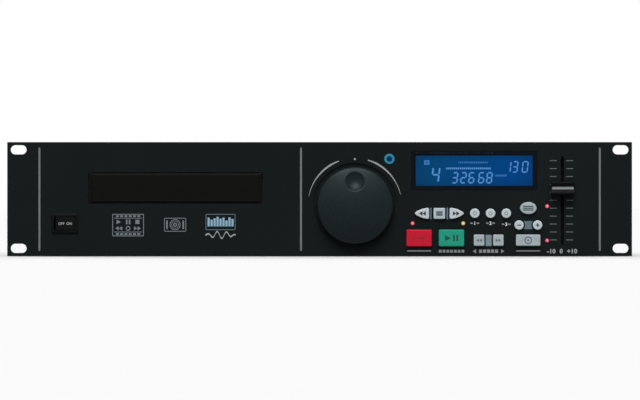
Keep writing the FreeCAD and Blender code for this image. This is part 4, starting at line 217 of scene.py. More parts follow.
def key_cap(name, colour, rim, rough=0.46, gloss=0.15):
    """A part that fingers touch, such as a key: fine grain, faint patches of wear, and a lighter rim along
    the edges that is partly wear and partly a painted highlight.
    """
    made = Finish(name)
    tone = made.toned(made.patches(150, 4), colour, 0.92, 1.07)
    # the rim colour along the edges is partly wear and partly a painted highlight of the light on the rounded
    # edges
    tone = made.rubbed(tone, rim, 0.0008, made.patches(700, 3, 0.55, 1.0))
    made.set(Base_Color=tone, Roughness=made.about(260, 4, rough, 0.06), Specular_IOR_Level=gloss)
    made.bumps((made.noise(3300, 2), 0.000012), (made.noise(200, 2), 0.00002))
    return made.material


def sheet_coat(name, colour, rough, gloss, worn):
    """Powder coat on sheet: an orange-peel surface with a fine sparkle, rubbed through along some edges."""
    made = Finish(name)
    peel = made.noise(1500, 3)
    tone = made.toned(made.patches(14, 5), colour, 0.94, 1.07)
    tone = made.mix(made.span(peel, 0.55, 0.75, 0, 0.5), tone, scaled(colour, 1.7))
    tone = made.rubbed(tone, worn, 0.0006, made.span(made.noise(240, 4), 0.5, 0.68, 0.0, 0.75))
    made.set(Base_Color=tone, Roughness=made.about(45, 5, rough, 0.03), Specular_IOR_Level=gloss)
    made.bumps((peel, 0.00002), (made.noise(420, 2), 0.00003))
    return made.material


def brushed(name, colour, rough, along=0, metal=1.0):
    """Metal with fine lines along one axis, 0 to 2 for X to Z, patches of tone and a few dull marks."""
    made = Finish(name)
    lines = made.noise(1.0, 4, made.stretched([60 if k == along else 5200 for k in range(3)]))
    tone = made.toned(made.span(lines, 0.3, 0.7, 0, 1), colour, 0.82, 1.1)
    tone = made.mix(made.span(made.noise(70, 4), 0.5, 0.8, 0, 0.35), tone, scaled(colour, 0.7))
    made.set(Base_Color=tone, Metallic=metal)
    made.set(Roughness=made.span(lines, 0.2, 0.8, rough - 0.08, rough + 0.12))
    made.bumps((lines, 0.000006))
    return made.material


def spangled(name, colour, rough):
    """Zinc-plated sheet, with crystals of slightly different tone."""
    made = Finish(name)
    crystal = made.add("SeparateColor", Color=made.cells(170, output="Color")).outputs
    shine = made.span(crystal["Green"], 0, 1, rough - 0.08, rough + 0.1)
    made.set(Base_Color=made.toned(crystal["Red"], colour, 0.8, 1.12), Roughness=shine, Metallic=1.0)
    made.bumps((made.noise(900, 3), 0.000008))
    return made.material


def glowing(name, colour, strength, body):
    """A lit face: its own light over a plain body, with a slight unevenness."""
    made = Finish(name)
    uneven = made.patches(160, 3)
    made.set(Emission_Color=made.toned(uneven, colour, 0.93, 1.05), Emission_Strength=strength)
    made.set(Base_Color=made.toned(uneven, body, 1.0, 0.4), Roughness=made.about(300, 2, 0.25, 0.04))
    made.set(Specular_IOR_Level=0.05)
    made.bumps((made.noise(1800, 2), 0.000004))
    return made.material


def ink(name, colour):
    """Screen-printed ink: slightly uneven in tone, with the mesh of the screen in it."""
    made = Finish(name)
    made.set(Base_Color=made.toned(made.patches(900, 4), colour, 0.86, 1.06))
    made.set(Roughness=made.about(700, 3, 0.55, 0.08), Specular_IOR_Level=0.3)
    made.bumps((made.cells(4200), 0.000004))
    return made.material


def panel_finish():
    """Satin black panel: fine blasted grain, cloudy tone, faint wiping marks, and lighter worn edges."""
    made = Finish("panel_black")
    colour = seen(14, 19, 20)
    grain = made.noise(3200, 2)
    tone = made.toned(made.patches(9, 4), colour, 0.86, 1.14)
    tone = made.mix(made.span(grain, 0.45, 0.75, 0, 0.5), tone, scaled(colour, 1.5))
    tone = made.rubbed(tone, seen(56, 60, 61), 0.0005, made.span(made.noise(160, 4), 0.4, 0.6, 0.2, 0.8))
    wiped = made.noise(1.0, 3, made.stretched((8, 8, 160)))
    made.set(Base_Color=tone, Roughness=made.span(wiped, 0.3, 0.7, 0.42, 0.56), Specular_IOR_Level=0.05)
    made.bumps((grain, 0.000006), (made.noise(24, 2), 0.00003))
    return made.material


JOG_X, _, JOG_Z = middle("jog_wheel")
JOG_FACE_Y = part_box("jog_wheel")[0].y / MM
DIMPLE_UP, DIMPLE_BACK = 17.59, 4.8  # the bottom of its finger dimple, from the middle of its face
DOME_POLE_R, DIMPLE_POLE_R = 2.35, 0.87  # how far from each pole the mesh's own normals are off


def jog_finish():
    """The jog wheel's soft black: a speckled grain that catches light."""
    made = Finish("jog_plastic")
    colour = seen(5, 13, 14)
    speckle = made.noise(800, 3)
    tone = made.toned(made.patches(55, 4), colour, 0.88, 1.12)
    tone = made.mix(made.span(speckle, 0.52, 0.7, 0, 0.8), tone, scaled(colour, 2.6))
    made.set(Base_Color=tone, Roughness=made.patches(70, 4, 0.38, 0.5))
    made.set(Specular_IOR_Level=0.175, Specular_Tint=(0.84, 0.96, 0.98, 1.0))
    dome_pole = (JOG_X, JOG_FACE_Y, JOG_Z, DOME_POLE_R)
    dimple_pole = (JOG_X, JOG_FACE_Y + DIMPLE_BACK, JOG_Z + DIMPLE_UP, DIMPLE_POLE_R)
    made.bumps((speckle, 0.00005), normal=made.even(dome_pole, dimple_pole))
    return made.material


def display_finish():
    """The lit face of the display: deep blue, lighter in the middle, with the fine mesh of its cells."""
    made = Finish("display_lit")
    x, _, z = middle("lcd_module") * MM
    across = made.maths("ABSOLUTE", made.maths("SUBTRACT", made.axis("X"), x))
    upward = made.maths("ABSOLUTE", made.maths("SUBTRACT", made.axis("Z"), z))
    fade_x, fade_z = made.span(across, 0.030, 0.0465, 1.0, 0.55), made.span(upward, 0.006, 0.0125, 1.0, 0.55)
    right = made.span(made.axis("X"), x - 0.04, x + 0.04, 0.0, 1.0)
    lit = made.mix(right, seen(4, 67, 112), seen(0, 63, 130))
    lit = made.mix(made.maths("MULTIPLY", fade_x, fade_z), seen(6, 46, 82), lit)
    mesh = made.cells(1700, feature="DISTANCE_TO_EDGE")
    lit = made.mix(made.span(mesh, 0.0, 0.12, 0.2, 0.0), lit, seen(6, 46, 90))
    made.set(Emission_Color=lit, Emission_Strength=1.0)
    made.set(Base_Color=made.mix(made.noise(30, 2), seen(0, 6, 18), seen(0, 8, 22)))
    made.set(Roughness=made.patches(60, 3, 0.1, 0.18), Specular_IOR_Level=0.02)
    made.bumps((made.noise(50, 2), 0.000006))
    return made.material


def lamp_finish(name, x, z, core, halo):
    """A lit lamp at x and z in mm: a pale core in the middle of its dome and a saturated rim."""
    made = Finish(name)
    dx = made.maths("SUBTRACT", made.axis("X"), x * MM)
    dz = made.maths("SUBTRACT", made.axis("Z"), z * MM)
    square = made.maths("ADD", made.maths("MULTIPLY", dx, dx), made.maths("MULTIPLY", dz, dz))
    rim = made.span(made.maths("SQRT", square), 0.0004, 0.0013, 0, 1)
    made.set(Emission_Color=made.mix(rim, core, halo), Emission_Strength=1.0)
    made.set(Base_Color=made.toned(made.noise(900, 2), halo, 0.35, 0.5))
    made.set(Roughness=made.patches(500, 2, 0.12, 0.22))
    made.bumps((made.noise(1200, 2), 0.000003))
    return made.material


def board_finish():
    """Green solder mask over copper tracks, with rows of solder points."""
    made = Finish("board_green")
    tracks = made.span(made.cells(260, made.stretched((1, 0.35, 0.35)), "DISTANCE_TO_EDGE"), 0.02, 0.06, 1, 0)
    points = made.cells(390)
    tone = made.mix(tracks, seen(18, 84, 48), seen(40, 122, 66))
    tone = made.mix(made.span(points, 0.16, 0.2, 1, 0), tone, seen(182, 184, 180))
    made.set(Base_Color=tone, Roughness=made.span(points, 0.1, 0.4, 0.25, 0.42))
    made.bumps((tracks, 0.00003))
    return made.material


def wound(name, colour, rough, radian=0.0009):
    """Layers along Z, such as laminations or taped windings, each as thick as tau times radian, in metres."""
    made = Finish(name)
    wave = made.add("TexWave", Scale=1 / radian / WAVE_PHASE, Distortion=0.6, Vector=made.place)
    wave.bands_direction = "Z"
    layers = wave.outputs["Fac"]
    tone = made.toned(layers, colour, 0.6, 1.15)
    tone = made.mix(made.span(made.noise(120, 3), 0.4, 0.8, 0, 0.5), tone, scaled(colour, 0.5))
    made.set(Base_Color=tone, Roughness=made.about(200, 3, rough, 0.1))
    made.bumps((layers, 0.0001))
    return made.material


def clear_lens():
    """Coated moulded lens: clear, with a violet cast."""
    made = Finish("lens_clear")
    made.set(Base_Color=made.mix(made.noise(800, 2), seen(130, 140, 214), seen(172, 150, 226)))
    made.set(Roughness=made.patches(900, 2, 0.02, 0.08), Transmission_Weight=0.85, IOR=1.5)
    made.bumps((made.noise(1500, 2), 0.000001))
    return made.material


GREY_WORN = seen(96, 98, 99)
PANEL = panel_finish()
GROOVE = brushed("groove_bare", seen(104, 110, 112), 0.4, along=2, metal=0.5)
SHEET = sheet_coat("case_coat", seen(24, 26, 28), 0.52, 0.12, seen(104, 106, 108))
RUBBER = moulded("foot_rubber", seen(32, 32, 33), 0.78, 0.0007, 0.00003, 0.3)
SCREW = brushed("screw_black", seen(92, 92, 95), 0.36)
BLACK_PLASTIC = moulded("black_plastic", seen(48, 49, 51), 0.56, 0.0006, 0.00002, 0.35, seen(96, 97, 99))
TRAY_PLASTIC = moulded("tray_plastic", seen(40, 41, 43), 0.5, 0.0009, 0.00003, 0.4, GREY_WORN)
# its rim colour along the edges is partly wear and partly a painted highlight of the light on its rounded top
# and bottom edges
TRAY_FRONT = key_cap("tray_front", seen(5, 5, 4), seen(52, 56, 54), 0.42, 0.06)
ZINC = spangled("zinc_sheet", seen(184, 187, 191), 0.34)
ACETAL = moulded("acetal", seen(226, 223, 212), 0.42, 0.0008, 0.00001, 0.5)
PULLEY_PLASTIC = moulded("pulley_plastic", seen(200, 198, 190), 0.45, 0.0008, 0.00001, 0.5)
BRASS = brushed("brass", seen(208, 176, 106), 0.26, along=2)
BELT = moulded("belt_rubber", seen(26, 26, 27), 0.66, 0.0005, 0.00002, 0.3)
STEEL = brushed("drawn_steel", seen(188, 190, 194), 0.3, along=2)
ROD = brushed("ground_steel", seen(212, 214, 218), 0.16, along=1)
DARK_RUBBER = moulded("damper_rubber", seen(74, 74, 78), 0.8, 0.0007, 0.00003, 0.3)
SOFT_RING = moulded("hub_ring", seen(36, 36, 38), 0.86, 0.0005, 0.00004, 0.2)
LENS = clear_lens()
JOG = jog_finish()
GLOSS_BLACK = moulded("gloss_black", seen(10, 12, 12), 0.24, 0.003, 0.000004, 0.06, seen(44, 46, 47))
BEZEL = moulded("display_frame", seen(7, 13, 18), 0.26, 0.003, 0.000004, 0.05, seen(24, 30, 36))
DISPLAY = display_finish()
DISPLAY_BODY = moulded("display_body", seen(214, 216, 214), 0.5, 0.0008, 0.00001, 0.4)
RING_LIT = glowing("ring_lit", seen(50, 132, 162), 0.8, seen(22, 62, 80))
EJECT = glowing("eject_blue", seen(0, 50, 96), 0.7, seen(2, 16, 34))
# each key's second colour is its rim along the edges: wear together with a painted highlight of the light on
# its rounded edges
GREY_KEY = key_cap("key_grey", seen(156, 168, 172), seen(184, 192, 195))
PALE_KEY = key_cap("key_pale", seen(181, 190, 194), seen(216, 221, 224))
BLUE_KEY = key_cap("key_blue_grey", seen(166, 182, 188), seen(194, 205, 209))
RED_KEY = key_cap("key_red", seen(186, 20, 45), seen(206, 66, 80), 0.44)
GREEN_KEY = key_cap("key_green", seen(28, 142, 117), seen(76, 170, 148), 0.44)
FADER = moulded("fader_black", seen(9, 11, 10), 0.5, 0.0004, 0.000012, 0.05, seen(60, 62, 64))
BOARD = board_finish()
CHIP = moulded("chip_black", seen(38, 38, 40), 0.5, 0.0004, 0.00001, 0.4)
CAPACITOR = moulded("capacitor_sleeve", seen(34, 38, 62), 0.34, 0.001, 0.000005, 0.5)
WHITE_NYLON = moulded("header_nylon", seen(222, 219, 206), 0.5, 0.0008, 0.00001, 0.4)
SINK = brushed("sink_aluminium", seen(172, 174, 178), 0.36, along=2)
CORE = wound("laminations", seen(92, 86, 80), 0.45)
COIL = wound("coil_tape", seen(196, 158, 60), 0.4, 0.003)
DARK_STEEL = moulded("blackened_steel", seen(18, 20, 21), 0.5, 0.0006, 0.00001, 0.1, seen(60, 62, 64))
NICKEL = brushed("nickel", seen(206, 202, 190), 0.2, along=1)
TIN = brushed("tinned_leads", seen(190, 192, 194), 0.3, along=1)
RED_RESIN = moulded("socket_red", seen(176, 30, 34), 0.4, 0.0006, 0.00001, 0.4)
WHITE_RESIN = moulded("socket_white", seen(222, 222, 218), 0.4, 0.0006, 0.00001, 0.4)
ORANGE_RESIN = moulded("socket_orange", seen(214, 120, 34), 0.4, 0.0006, 0.00001, 0.4)
WHITE_INK = ink("ink_white", seen(206, 210, 211))
SILVER_INK = ink("ink_silver", seen(150, 152, 152))
GREY_INK = ink("ink_grey", seen(128, 132, 134))
BADGE_INK = ink("ink_badge", seen(108, 116, 120))
DIM_INK = ink("ink_dim", seen(84, 87, 88))
BLUE_INK = ink("ink_blue_grey", seen(86, 106, 116))
LINK_INK = ink("ink_link", seen(112, 132, 138))
GREEN_INK = ink("ink_dark_green", seen(8, 66, 56))
PALE_BLUE_INK = ink("ink_pale_blue", seen(132, 168, 188))
DARK_INK = ink("ink_dark", seen(38, 42, 46))
SOFT_INK = ink("ink_soft", seen(92, 100, 106))
RED_INK = ink("ink_dark_red", seen(150, 12, 26))
DIGIT = glowing("digit_lit", seen(80, 134, 195), 1.0, seen(30, 50, 70))
SMALL_DIGIT = glowing("small_mark_lit", seen(54, 114, 174), 1.0, seen(24, 44, 64))
LAMP_PLACES = {  # x and z in mm
    "lamp_cue": (71.8, -18.7), "lamp_play": (110.9, -18.7),
    "lamp_high": (175.7, -5.5), "lamp_low": (175.7, -32.0),
}
LAMP_COLOURS = {  # of the core and of what is round it
    "lamp_cue": (seen(212, 144, 154), seen(180, 38, 60)),
    "lamp_play": (seen(214, 208, 176), seen(160, 132, 50)),
    "lamp_high": (seen(222, 150, 164), seen(190, 36, 66)),
    "lamp_low": (seen(204, 130, 150), seen(180, 36, 66)),
}
LAMPS = {name: lamp_finish(name, *place, *LAMP_COLOURS[name]) for name, place in LAMP_PLACES.items()}

FINISHES = {
    "front_panel": PANEL, "chassis_base": SHEET, "top_cover": SHEET, "feet": RUBBER, "m3_screws": SCREW,
    "loader_frame": BLACK_PLASTIC, "loader_brackets": ZINC, "clamp_bridge": ZINC,
    "clamper": BLACK_PLASTIC, "disc_tray": TRAY_PLASTIC, "tray_bezel": TRAY_FRONT, "tray_gear": ACETAL,
    "loading_pulley": PULLEY_PLASTIC, "motor_pulley": BRASS, "drive_belt": BELT, "loading_motor": STEEL,
    "cam_slider": ACETAL, "lift_frame": BLACK_PLASTIC, "pickup_chassis": ZINC,
    "damper_bushes": DARK_RUBBER, "spindle_motor": STEEL, "disc_hub": BLACK_PLASTIC, "sled_rods": ROD,
    "pickup_sled": BLACK_PLASTIC, "objective_lens": LENS, "sled_gear": ACETAL, "sled_pinion": BRASS,
    "sled_motor": STEEL, "jog_wheel": JOG, "jog_shaft": ROD, "jog_encoder": STEEL,
    "power_switch_body": GLOSS_BLACK, "power_rocker": GLOSS_BLACK, "display_bezel": BEZEL,
    "lcd_module": DISPLAY, "status_lamps": TIN, "eject_ring": RING_LIT, "eject_button": EJECT,
    "skip_back_button": PALE_KEY, "stop_button": BLUE_KEY, "skip_forward_button": PALE_KEY,
    "mode_button_1": PALE_KEY, "mode_button_2": PALE_KEY, "mode_button_3": PALE_KEY,
    "menu_button": GREY_KEY, "bend_minus_button": PALE_KEY, "bend_plus_button": PALE_KEY,
    "cue_button": RED_KEY, "play_button": GREEN_KEY, "search_back_button": GREY_KEY,
    "search_forward_button": GREY_KEY, "pitch_button": GREY_KEY, "fader_cap": FADER,
    "fader_lever": DARK_STEEL, "slide_potentiometer": DARK_STEEL, "control_board": BOARD,
    "main_board": BOARD, "transformer": CORE, "mains_inlet": GLOSS_BLACK, "audio_sockets": NICKEL,
}
for name, finish in FINISHES.items():
    NODES[name].data.materials.clear()
    NODES[name].data.materials.append(finish)


def repaint(node, finish, chosen):
    """Gives this finish to the node's faces whose centre, in mm, and normal are chosen."""
    mesh = NODES[node].data
    mesh.materials.append(finish)
    for face in mesh.polygons:
        if chosen(*(face.center / MM), face.normal):
            face.material_index = len(mesh.materials) - 1


def separate_solids(faces):
    """The numbers of the faces, in one list for each solid, which shares no corner with another."""
    at_corner = {}
    for face in faces:
        for vertex in face.verts:
            at_corner.setdefault(tuple(round(v, 6) for v in vertex.co), []).append(face.index)
    group = list(range(len(faces)))

    def root(k):
        """The number that stands for the whole of k's solid."""
        while group[k] != k:
            group[k] = group[group[k]]
            k = group[k]
        return k

    for first, *others in at_corner.values():
        for other in others:
            group[root(other)] = root(first)
    solids = {}
    for k in range(len(faces)):
        solids.setdefault(root(k), []).append(k)
    return solids.values()


def repaint_solids(node, finish, chosen):
    """Gives this finish to the node's separate solids whose size, in mm, is chosen."""
    mesh = NODES[node].data
    mesh.materials.append(finish)
    work = bmesh.new()
    work.from_mesh(mesh)
    work.faces.ensure_lookup_table()
    for solid in separate_solids(work.faces):
        points = [v.co / MM for k in solid for v in work.faces[k].verts]
        size = Vector([max(p[k] for p in points) - min(p[k] for p in points) for k in range(3)])
        if chosen(size):
            for k in solid:
                mesh.polygons[k].material_index = len(mesh.materials) - 1
    work.free()


# places in mm
GROOVES_X = (-216.4, -14.4, 216.4)
GROOVE_HALF_W, GROOVE_HALF_H = 1.3, 42
HUB_SEAT_Z = 11.7  # where a disc rests
LEADS_Y, LAMP_REACH = 1.05, 5  # beyond the first a lamp is leads; within the second there is only one lamp
PINS_Y, SHELLS_Y = 219, 231  # beyond these are the inlet's pins and the coaxial sockets' bare shells
INLET_X, _, INLET_Z = middle("mains_inlet")
PINS = ((-7, 2), (7, 2), (0, -2))  # from the inlet's middle
PIN_HALF_W, PIN_HALF_H = 1.05, 2.05
COAX_X, REMOTE_X, SOCKETS_Z = (20, 40, 60), 85, -22  # the sockets' middles
COAX_HALF_W, COAX_BORE_R = 9, 1.7


def in_groove(x, y, z, n):
    """Whether a face of the panel is the floor or a side of a groove, behind the panel's own face."""
    return -3.95 < y < -2.5 and abs(z) < GROOVE_HALF_H and any(abs(x - g) < GROOVE_HALF_W for g in GROOVES_X)


def on_pin(x, y, z, n):
    """Whether a face belongs to one of the three pins in the mains inlet."""
    return y > PINS_Y and any(abs(x - INLET_X - dx) < PIN_HALF_W and abs(z - INLET_Z - dz) < PIN_HALF_H
                              for dx, dz in PINS)


repaint("front_panel", GROOVE, in_groove)
repaint("lcd_module", DISPLAY_BODY, lambda x, y, z, n: y > -1.0)  # what is behind the lit face
for name, (lamp_x, lamp_z) in LAMP_PLACES.items():
    repaint("status_lamps", LAMPS[name],
            lambda x, y, z, n: y < LEADS_Y and math.hypot(x - lamp_x, z - lamp_z) < LAMP_REACH)
repaint("mains_inlet", NICKEL, on_pin)
repaint("disc_hub", SOFT_RING, lambda x, y, z, n: abs(z - HUB_SEAT_Z) < 0.1 and n.z > 0.9)
repaint("motor_pulley", STEEL, lambda x, y, z, n: z < -9.2)  # the shaft below the pulley
repaint("sled_pinion", STEEL, lambda x, y, z, n: z < -0.5)  # the shaft below the teeth
repaint("spindle_motor", ZINC, lambda x, y, z, n: z > -3.9)  # the top
repaint("objective_lens", BLACK_PLASTIC, lambda x, y, z, n: z < 7.2)  # the barrel below the lens
for coax_x, resin in zip(COAX_X, (WHITE_RESIN, RED_RESIN, ORANGE_RESIN)):
    repaint("audio_sockets", resin, lambda x, y, z, n: y < SHELLS_Y and abs(x - coax_x) < COAX_HALF_W
            or math.hypot(x - coax_x, z - SOCKETS_Z) < COAX_BORE_R)
repaint("audio_sockets", BLACK_PLASTIC, lambda x, y, z, n: y < SHELLS_Y and x > REMOTE_X - 10)
for board in ("control_board", "main_board"):
    repaint_solids(board, CHIP, lambda size: max(size) < 30)
repaint_solids("control_board", WHITE_NYLON, lambda size: 36 < size.x < 40)
repaint_solids("main_board", WHITE_NYLON, lambda size: 36 < max(size.x, size.y) < 40)
repaint_solids("main_board", CAPACITOR,
               lambda size: 6 < size.x < 10.5 and abs(size.x - size.y) < 0.3 and size.z > 9)
repaint_solids("main_board", SINK, lambda size: size.z > 24)
repaint_solids("transformer", COIL, lambda size: size.y < 12 and size.x > 20)
repaint_solids("transformer", ZINC, lambda size: size.z < 3)


# ================================================================ flat marks and the faces that carry them
INK = 0.00004  # how far a print stands off what carries it
SUNK = 0.00002  # how far it reaches into it, so that no gap shows
RAY_START = 0.3  # from here, in front or behind, rays find the face that carries a print
CAPITAL_H = 0.69  # a capital's height in Blender's plain face, as a share of the text's size
CIRCLE_STEPS, CORNER_STEPS, END_STEPS, BAND_STEPS = 40, 6, 10, 60  # straight pieces that stand for a curve
SURFACES = {}


def surface(node):
    """The node's faces, ready for rays."""
    if node not in SURFACES:
        mesh = NODES[node].data
        corners, faces = [v.co[:] for v in mesh.vertices], [p.vertices[:] for p in mesh.polygons]
        SURFACES[node] = BVHTree.FromPolygons(corners, faces)
    return SURFACES[node]


def shown(name, data):
    """A new object in the scene."""
    made = bpy.data.objects.new(name, data)
    bpy.context.scene.collection.objects.link(made)
    return made


def cut_finely(work, reach):
    """Cuts the mesh until no edge is longer than reach, so that it can follow a curved face."""
    long = [e for e in work.edges if e.calc_length() > reach]
    while long:
        bmesh.ops.subdivide_edges(work, edges=long, cuts=1)
        bmesh.ops.triangulate(work, faces=[f for f in work.faces if len(f.verts) > 3])
        long = [e for e in work.edges if e.calc_length() > reach]


def laid(name, curve, on, body, finish, rear=False, fine=None):
    """Makes the flat curve, drawn in X and Z, a thin closed piece that lies on the node's face all over."""
    curve.extrude = INK
    drawn = shown(name, curve)
    mesh = bpy.data.meshes.new_from_object(drawn.evaluated_get(bpy.context.evaluated_depsgraph_get()))
    bpy.data.objects.remove(drawn)
    mesh.transform(Matrix.Rotation(math.pi / 2, 4, "X"))
    if rear:
        mesh.transform(Matrix.Rotation(math.pi, 4, "Z"))
    mesh.name = name
    work = bmesh.new()
    work.from_mesh(mesh)
    bmesh.ops.remove_doubles(work, verts=work.verts, dist=1e-7)
    if fine:
        cut_finely(work, fine)
    bmesh.ops.recalc_face_normals(work, faces=work.faces)
    side = 1 if rear else -1
    for vertex in work.verts:
        start = Vector((vertex.co.x, side * RAY_START, vertex.co.z))
        face_y = surface(on).ray_cast(start, Vector((0, -side, 0)))[0].y
        outer = vertex.co.y * side > 0
        vertex.co.y = face_y + side * (INK if outer else -SUNK)
    work.to_mesh(mesh)
    work.free()
    mesh.materials.clear()
    mesh.materials.append(finish)
    piece = shown(name, mesh)
    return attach(piece, body)


def mark(name, outlines, on, body, finish, rear=False, fine=None):
    """A piece from outlines, lists of (x, z) in mm; an outline inside another cuts a hole in it."""
    curve = bpy.data.curves.new(name, "CURVE")
    curve.dimensions, curve.fill_mode = "2D", "BOTH"
    for outline in outlines:
        spline = curve.splines.new("POLY")
        spline.points.add(len(outline) - 1)
        for point, (x, z) in zip(spline.points, outline):
            point.co = (x * MM, z * MM, 0, 1)
        spline.use_cyclic_u = True
    return laid(name, curve, on, body, finish, rear, fine)


def panel_mark(name, outlines, finish):
    """A mark printed on the front panel."""
    return mark(name, outlines, "front_panel", "case", finish)


def key_mark(node, outlines, finish):
    """A mark on a key. The key's body is called what its node is, and the mark is named after both."""
    return mark(node.replace("button", "mark"), outlines, node, node, finish)


def display_mark(name, outlines, finish):
    """Lit marks on the display."""
    return mark(name, outlines, "lcd_module", "case", finish)


def numerals(name, text, x, z, height, on, body, finish, rear=False, wide=1.0, bold=0.0):
    """Generic numbers or symbols in a plain face, centred at x and z, in mm."""
    curve = bpy.data.curves.new(name, "FONT")
    curve.body = text
    curve.size = height * MM / CAPITAL_H
    curve.space_character = wide
    curve.offset = bold * MM
    curve.resolution_u = 3
    drawn = shown(name, curve)
    bpy.context.view_layer.update()
    low, high = Vector(drawn.bound_box[0]), Vector(drawn.bound_box[6])  # the box's opposite corners
    bpy.data.objects.remove(drawn)
    curve.offset_x = x * MM - (low.x + high.x) / 2
    curve.offset_y = z * MM - (low.y + high.y) / 2
    return laid(name, curve, on, body, finish, rear)


def bar(x, z, w, h, slant=0.0):
    """A bar, leaning to the right by slant of its height."""
    lean = slant * h / 2
    return [(x - w / 2 - lean, z - h / 2), (x + w / 2 - lean, z - h / 2),
            (x + w / 2 + lean, z + h / 2), (x - w / 2 + lean, z + h / 2)]


def row_of(count, x, z, pitch, w, h, slant=0.0):
    """Equal bars in a row whose middle is at x."""
    return [bar(x + pitch * (k - (count - 1) / 2), z, w, h, slant) for k in range(count)]


def disc(x, z, r):
    """A filled circle."""
    turns = [math.tau * k / CIRCLE_STEPS for k in range(CIRCLE_STEPS)]
    return [(x + r * math.cos(a), z + r * math.sin(a)) for a in turns]


def ring(x, z, outer, inner):
    """A circle of radius outer with a hole of radius inner."""
    return [disc(x, z, outer), disc(x, z, inner)]


def soft_bar(x, z, w, h, r):
    """A bar with round corners."""
    dx, dz = w / 2 - r, h / 2 - r
    points = []
    for quarter, (cx, cz) in enumerate(((dx, dz), (-dx, dz), (-dx, -dz), (dx, -dz))):
        for k in range(CORNER_STEPS + 1):
            a = math.pi / 2 * (quarter + k / CORNER_STEPS)
            points.append((x + cx + r * math.cos(a), z + cz + r * math.sin(a)))
    return points


def frame_of(x, z, w, h, line, r):
    """A line round a bar with round corners, inside its width and height."""
    return [soft_bar(x, z, w, h, r), soft_bar(x, z, w - 2 * line, h - 2 * line, max(r - line, 0.1))]


def hollow_bar(x, z, half, rim, half_h):
    """A bar between two round keys: each end follows a circle of radius rim whose centre is half away."""
    lean = math.asin(half_h / rim)
    turns = [lean * (1 - 2 * k / END_STEPS) for k in range(END_STEPS + 1)]
    left = [(x - half + rim * math.cos(a), z + rim * math.sin(a)) for a in turns]
    return left + [(2 * x - px, pz) for px, pz in reversed(left)]


def arrow(x, z, w, h, side):
    """A triangle that points right for side 1 and left for side -1."""
    return [(x - side * w / 2, z + h / 2), (x - side * w / 2, z - h / 2), (x + side * w / 2, z)]


def arrows(x, z, w, h, side, apart):
    """Two such triangles, one behind the other."""
    return [arrow(x + dx, z, w, h, side) for dx in (-apart / 2, apart / 2)]


def plus(x, z, reach, half):
    """A plus sign, with arms of this reach that are twice half thick."""
    arm = [(reach, -half), (reach, half), (half, half)]
    points = []
    for _ in range(4):
        points += [(x + a, z + b) for a, b in arm]
        arm = [(-b, a) for a, b in arm]
    return points


def swept_band(x, z, r, start, end, widths):
    """A band round x and z between two angles in degrees, its width taken along the list of widths."""
    outer, inner = [], []
    for k in range(BAND_STEPS + 1):
        a = math.radians(start + (end - start) * k / BAND_STEPS)
        place = k / BAND_STEPS * (len(widths) - 1)
        spot = min(int(place), len(widths) - 2)
        part = place - spot
        half = (widths[spot] * (1 - part) + widths[spot + 1] * part) / 2
        outer.append((x + (r + half) * math.cos(a), z + (r + half) * math.sin(a)))
        inner.append((x + (r - half) * math.cos(a), z + (r - half) * math.sin(a)))
    return outer + inner[::-1]


# the strokes of each digit, and where a stroke's middle is, in halves of the digit's width and height
STROKES = {"0": "abcdef", "1": "bc", "2": "abged", "3": "abgcd", "4": "fgbc",
           "5": "afgcd", "6": "afgedc", "7": "abc", "8": "abcdefg", "9": "abcdfg"}
STROKE_AT = {"a": (0, 1), "b": (1, 0.5), "c": (1, -0.5), "d": (0, -1), "e": (-1, -0.5), "f": (-1, 0.5),
             "g": (0, 0)}
STROKE_GAP = 0.16  # what a stroke is short of at each end, as a share of its thickness
LEAN = 0.12  # how far the display's marks lean to the right, as a share of their height


def seven(text, x, z, w, h, line, pitch=0.0):
    """Seven-segment digits, the first one's centre at x, each pitch further on."""
    half_w, half_h, tip = (w - line) / 2, (h - line) / 2, line / 2
    made = []
    for number, character in enumerate(text):
        for across, up in (STROKE_AT[stroke] for stroke in STROKES[character]):
            half = (half_h / 2 if across else half_w) - STROKE_GAP * line
            stroke = [(-half, 0), (tip - half, tip), (half - tip, tip),
                      (half, 0), (half - tip, -tip), (tip - half, -tip)]
            if across:
                stroke = [(b, a) for a, b in stroke]
            points = [(across * half_w + a, up * half_h + b) for a, b in stroke]
            made.append([(x + number * pitch + a + LEAN * b, z + b) for a, b in points])
    return made


# ================================================================ prints on the panel, in mm
ARC_R, ARC_DOT_UP = 36.2, 35.6
ARC_WIDTHS = (0.7, 1.35, 1.2, 0.85, 0.5, 0.25)
arcs = [swept_band(JOG_X, JOG_Z, ARC_R, start, end, ARC_WIDTHS) for start, end in ((74, 13), (110, 169))]
panel_mark("jog_arcs", arcs + [disc(JOG_X, JOG_Z + ARC_DOT_UP, 0.8)], SILVER_INK)

FADER_X, _, FADER_Z = middle("fader_cap")
SCALE_Z, TICK_PITCH = -0.9, 6.12
panel_mark("fader_scale", [bar(FADER_X + dx, SCALE_Z + k * TICK_PITCH, 5.4, 0.7)
                           for k in range(-5, 6) for dx in (-6.95, 5.65)], DIM_INK)

LABEL_Z = -40.2
CUE_X, PLAY_X, PITCH_X = (middle(f"{key}_button").x for key in ("cue", "play", "pitch"))
SEARCH_X = (middle("search_back_button").x + middle("search_forward_button").x) / 2
SEARCH_Z = middle("search_back_button").z
panel_mark("panel_rules", [bar(CUE_X, LABEL_Z + 0.2, 18.4, 0.9), bar(PITCH_X, LABEL_Z + 0.2, 18.4, 0.8)]
           + row_of(7, PLAY_X + 0.1, LABEL_Z, 2.9, 2.1, 2.2), GREY_INK)
dashes = [soft_bar(SEARCH_X + 3.1 * k, LABEL_Z, 2.4, 2.6, 0.3) for k in range(-2, 3)]
pointers = [arrow(SEARCH_X + side * 10.9, LABEL_Z, 2.6, 3.4, side) for side in (-1, 1)]
panel_mark("search_legend", dashes + pointers, GREY_INK)
numerals("fader_legend", "-10  0  +10", FADER_X - 0.2, LABEL_Z, 3.2, "front_panel", "case", SILVER_INK,
         wide=1.1, bold=0.18)
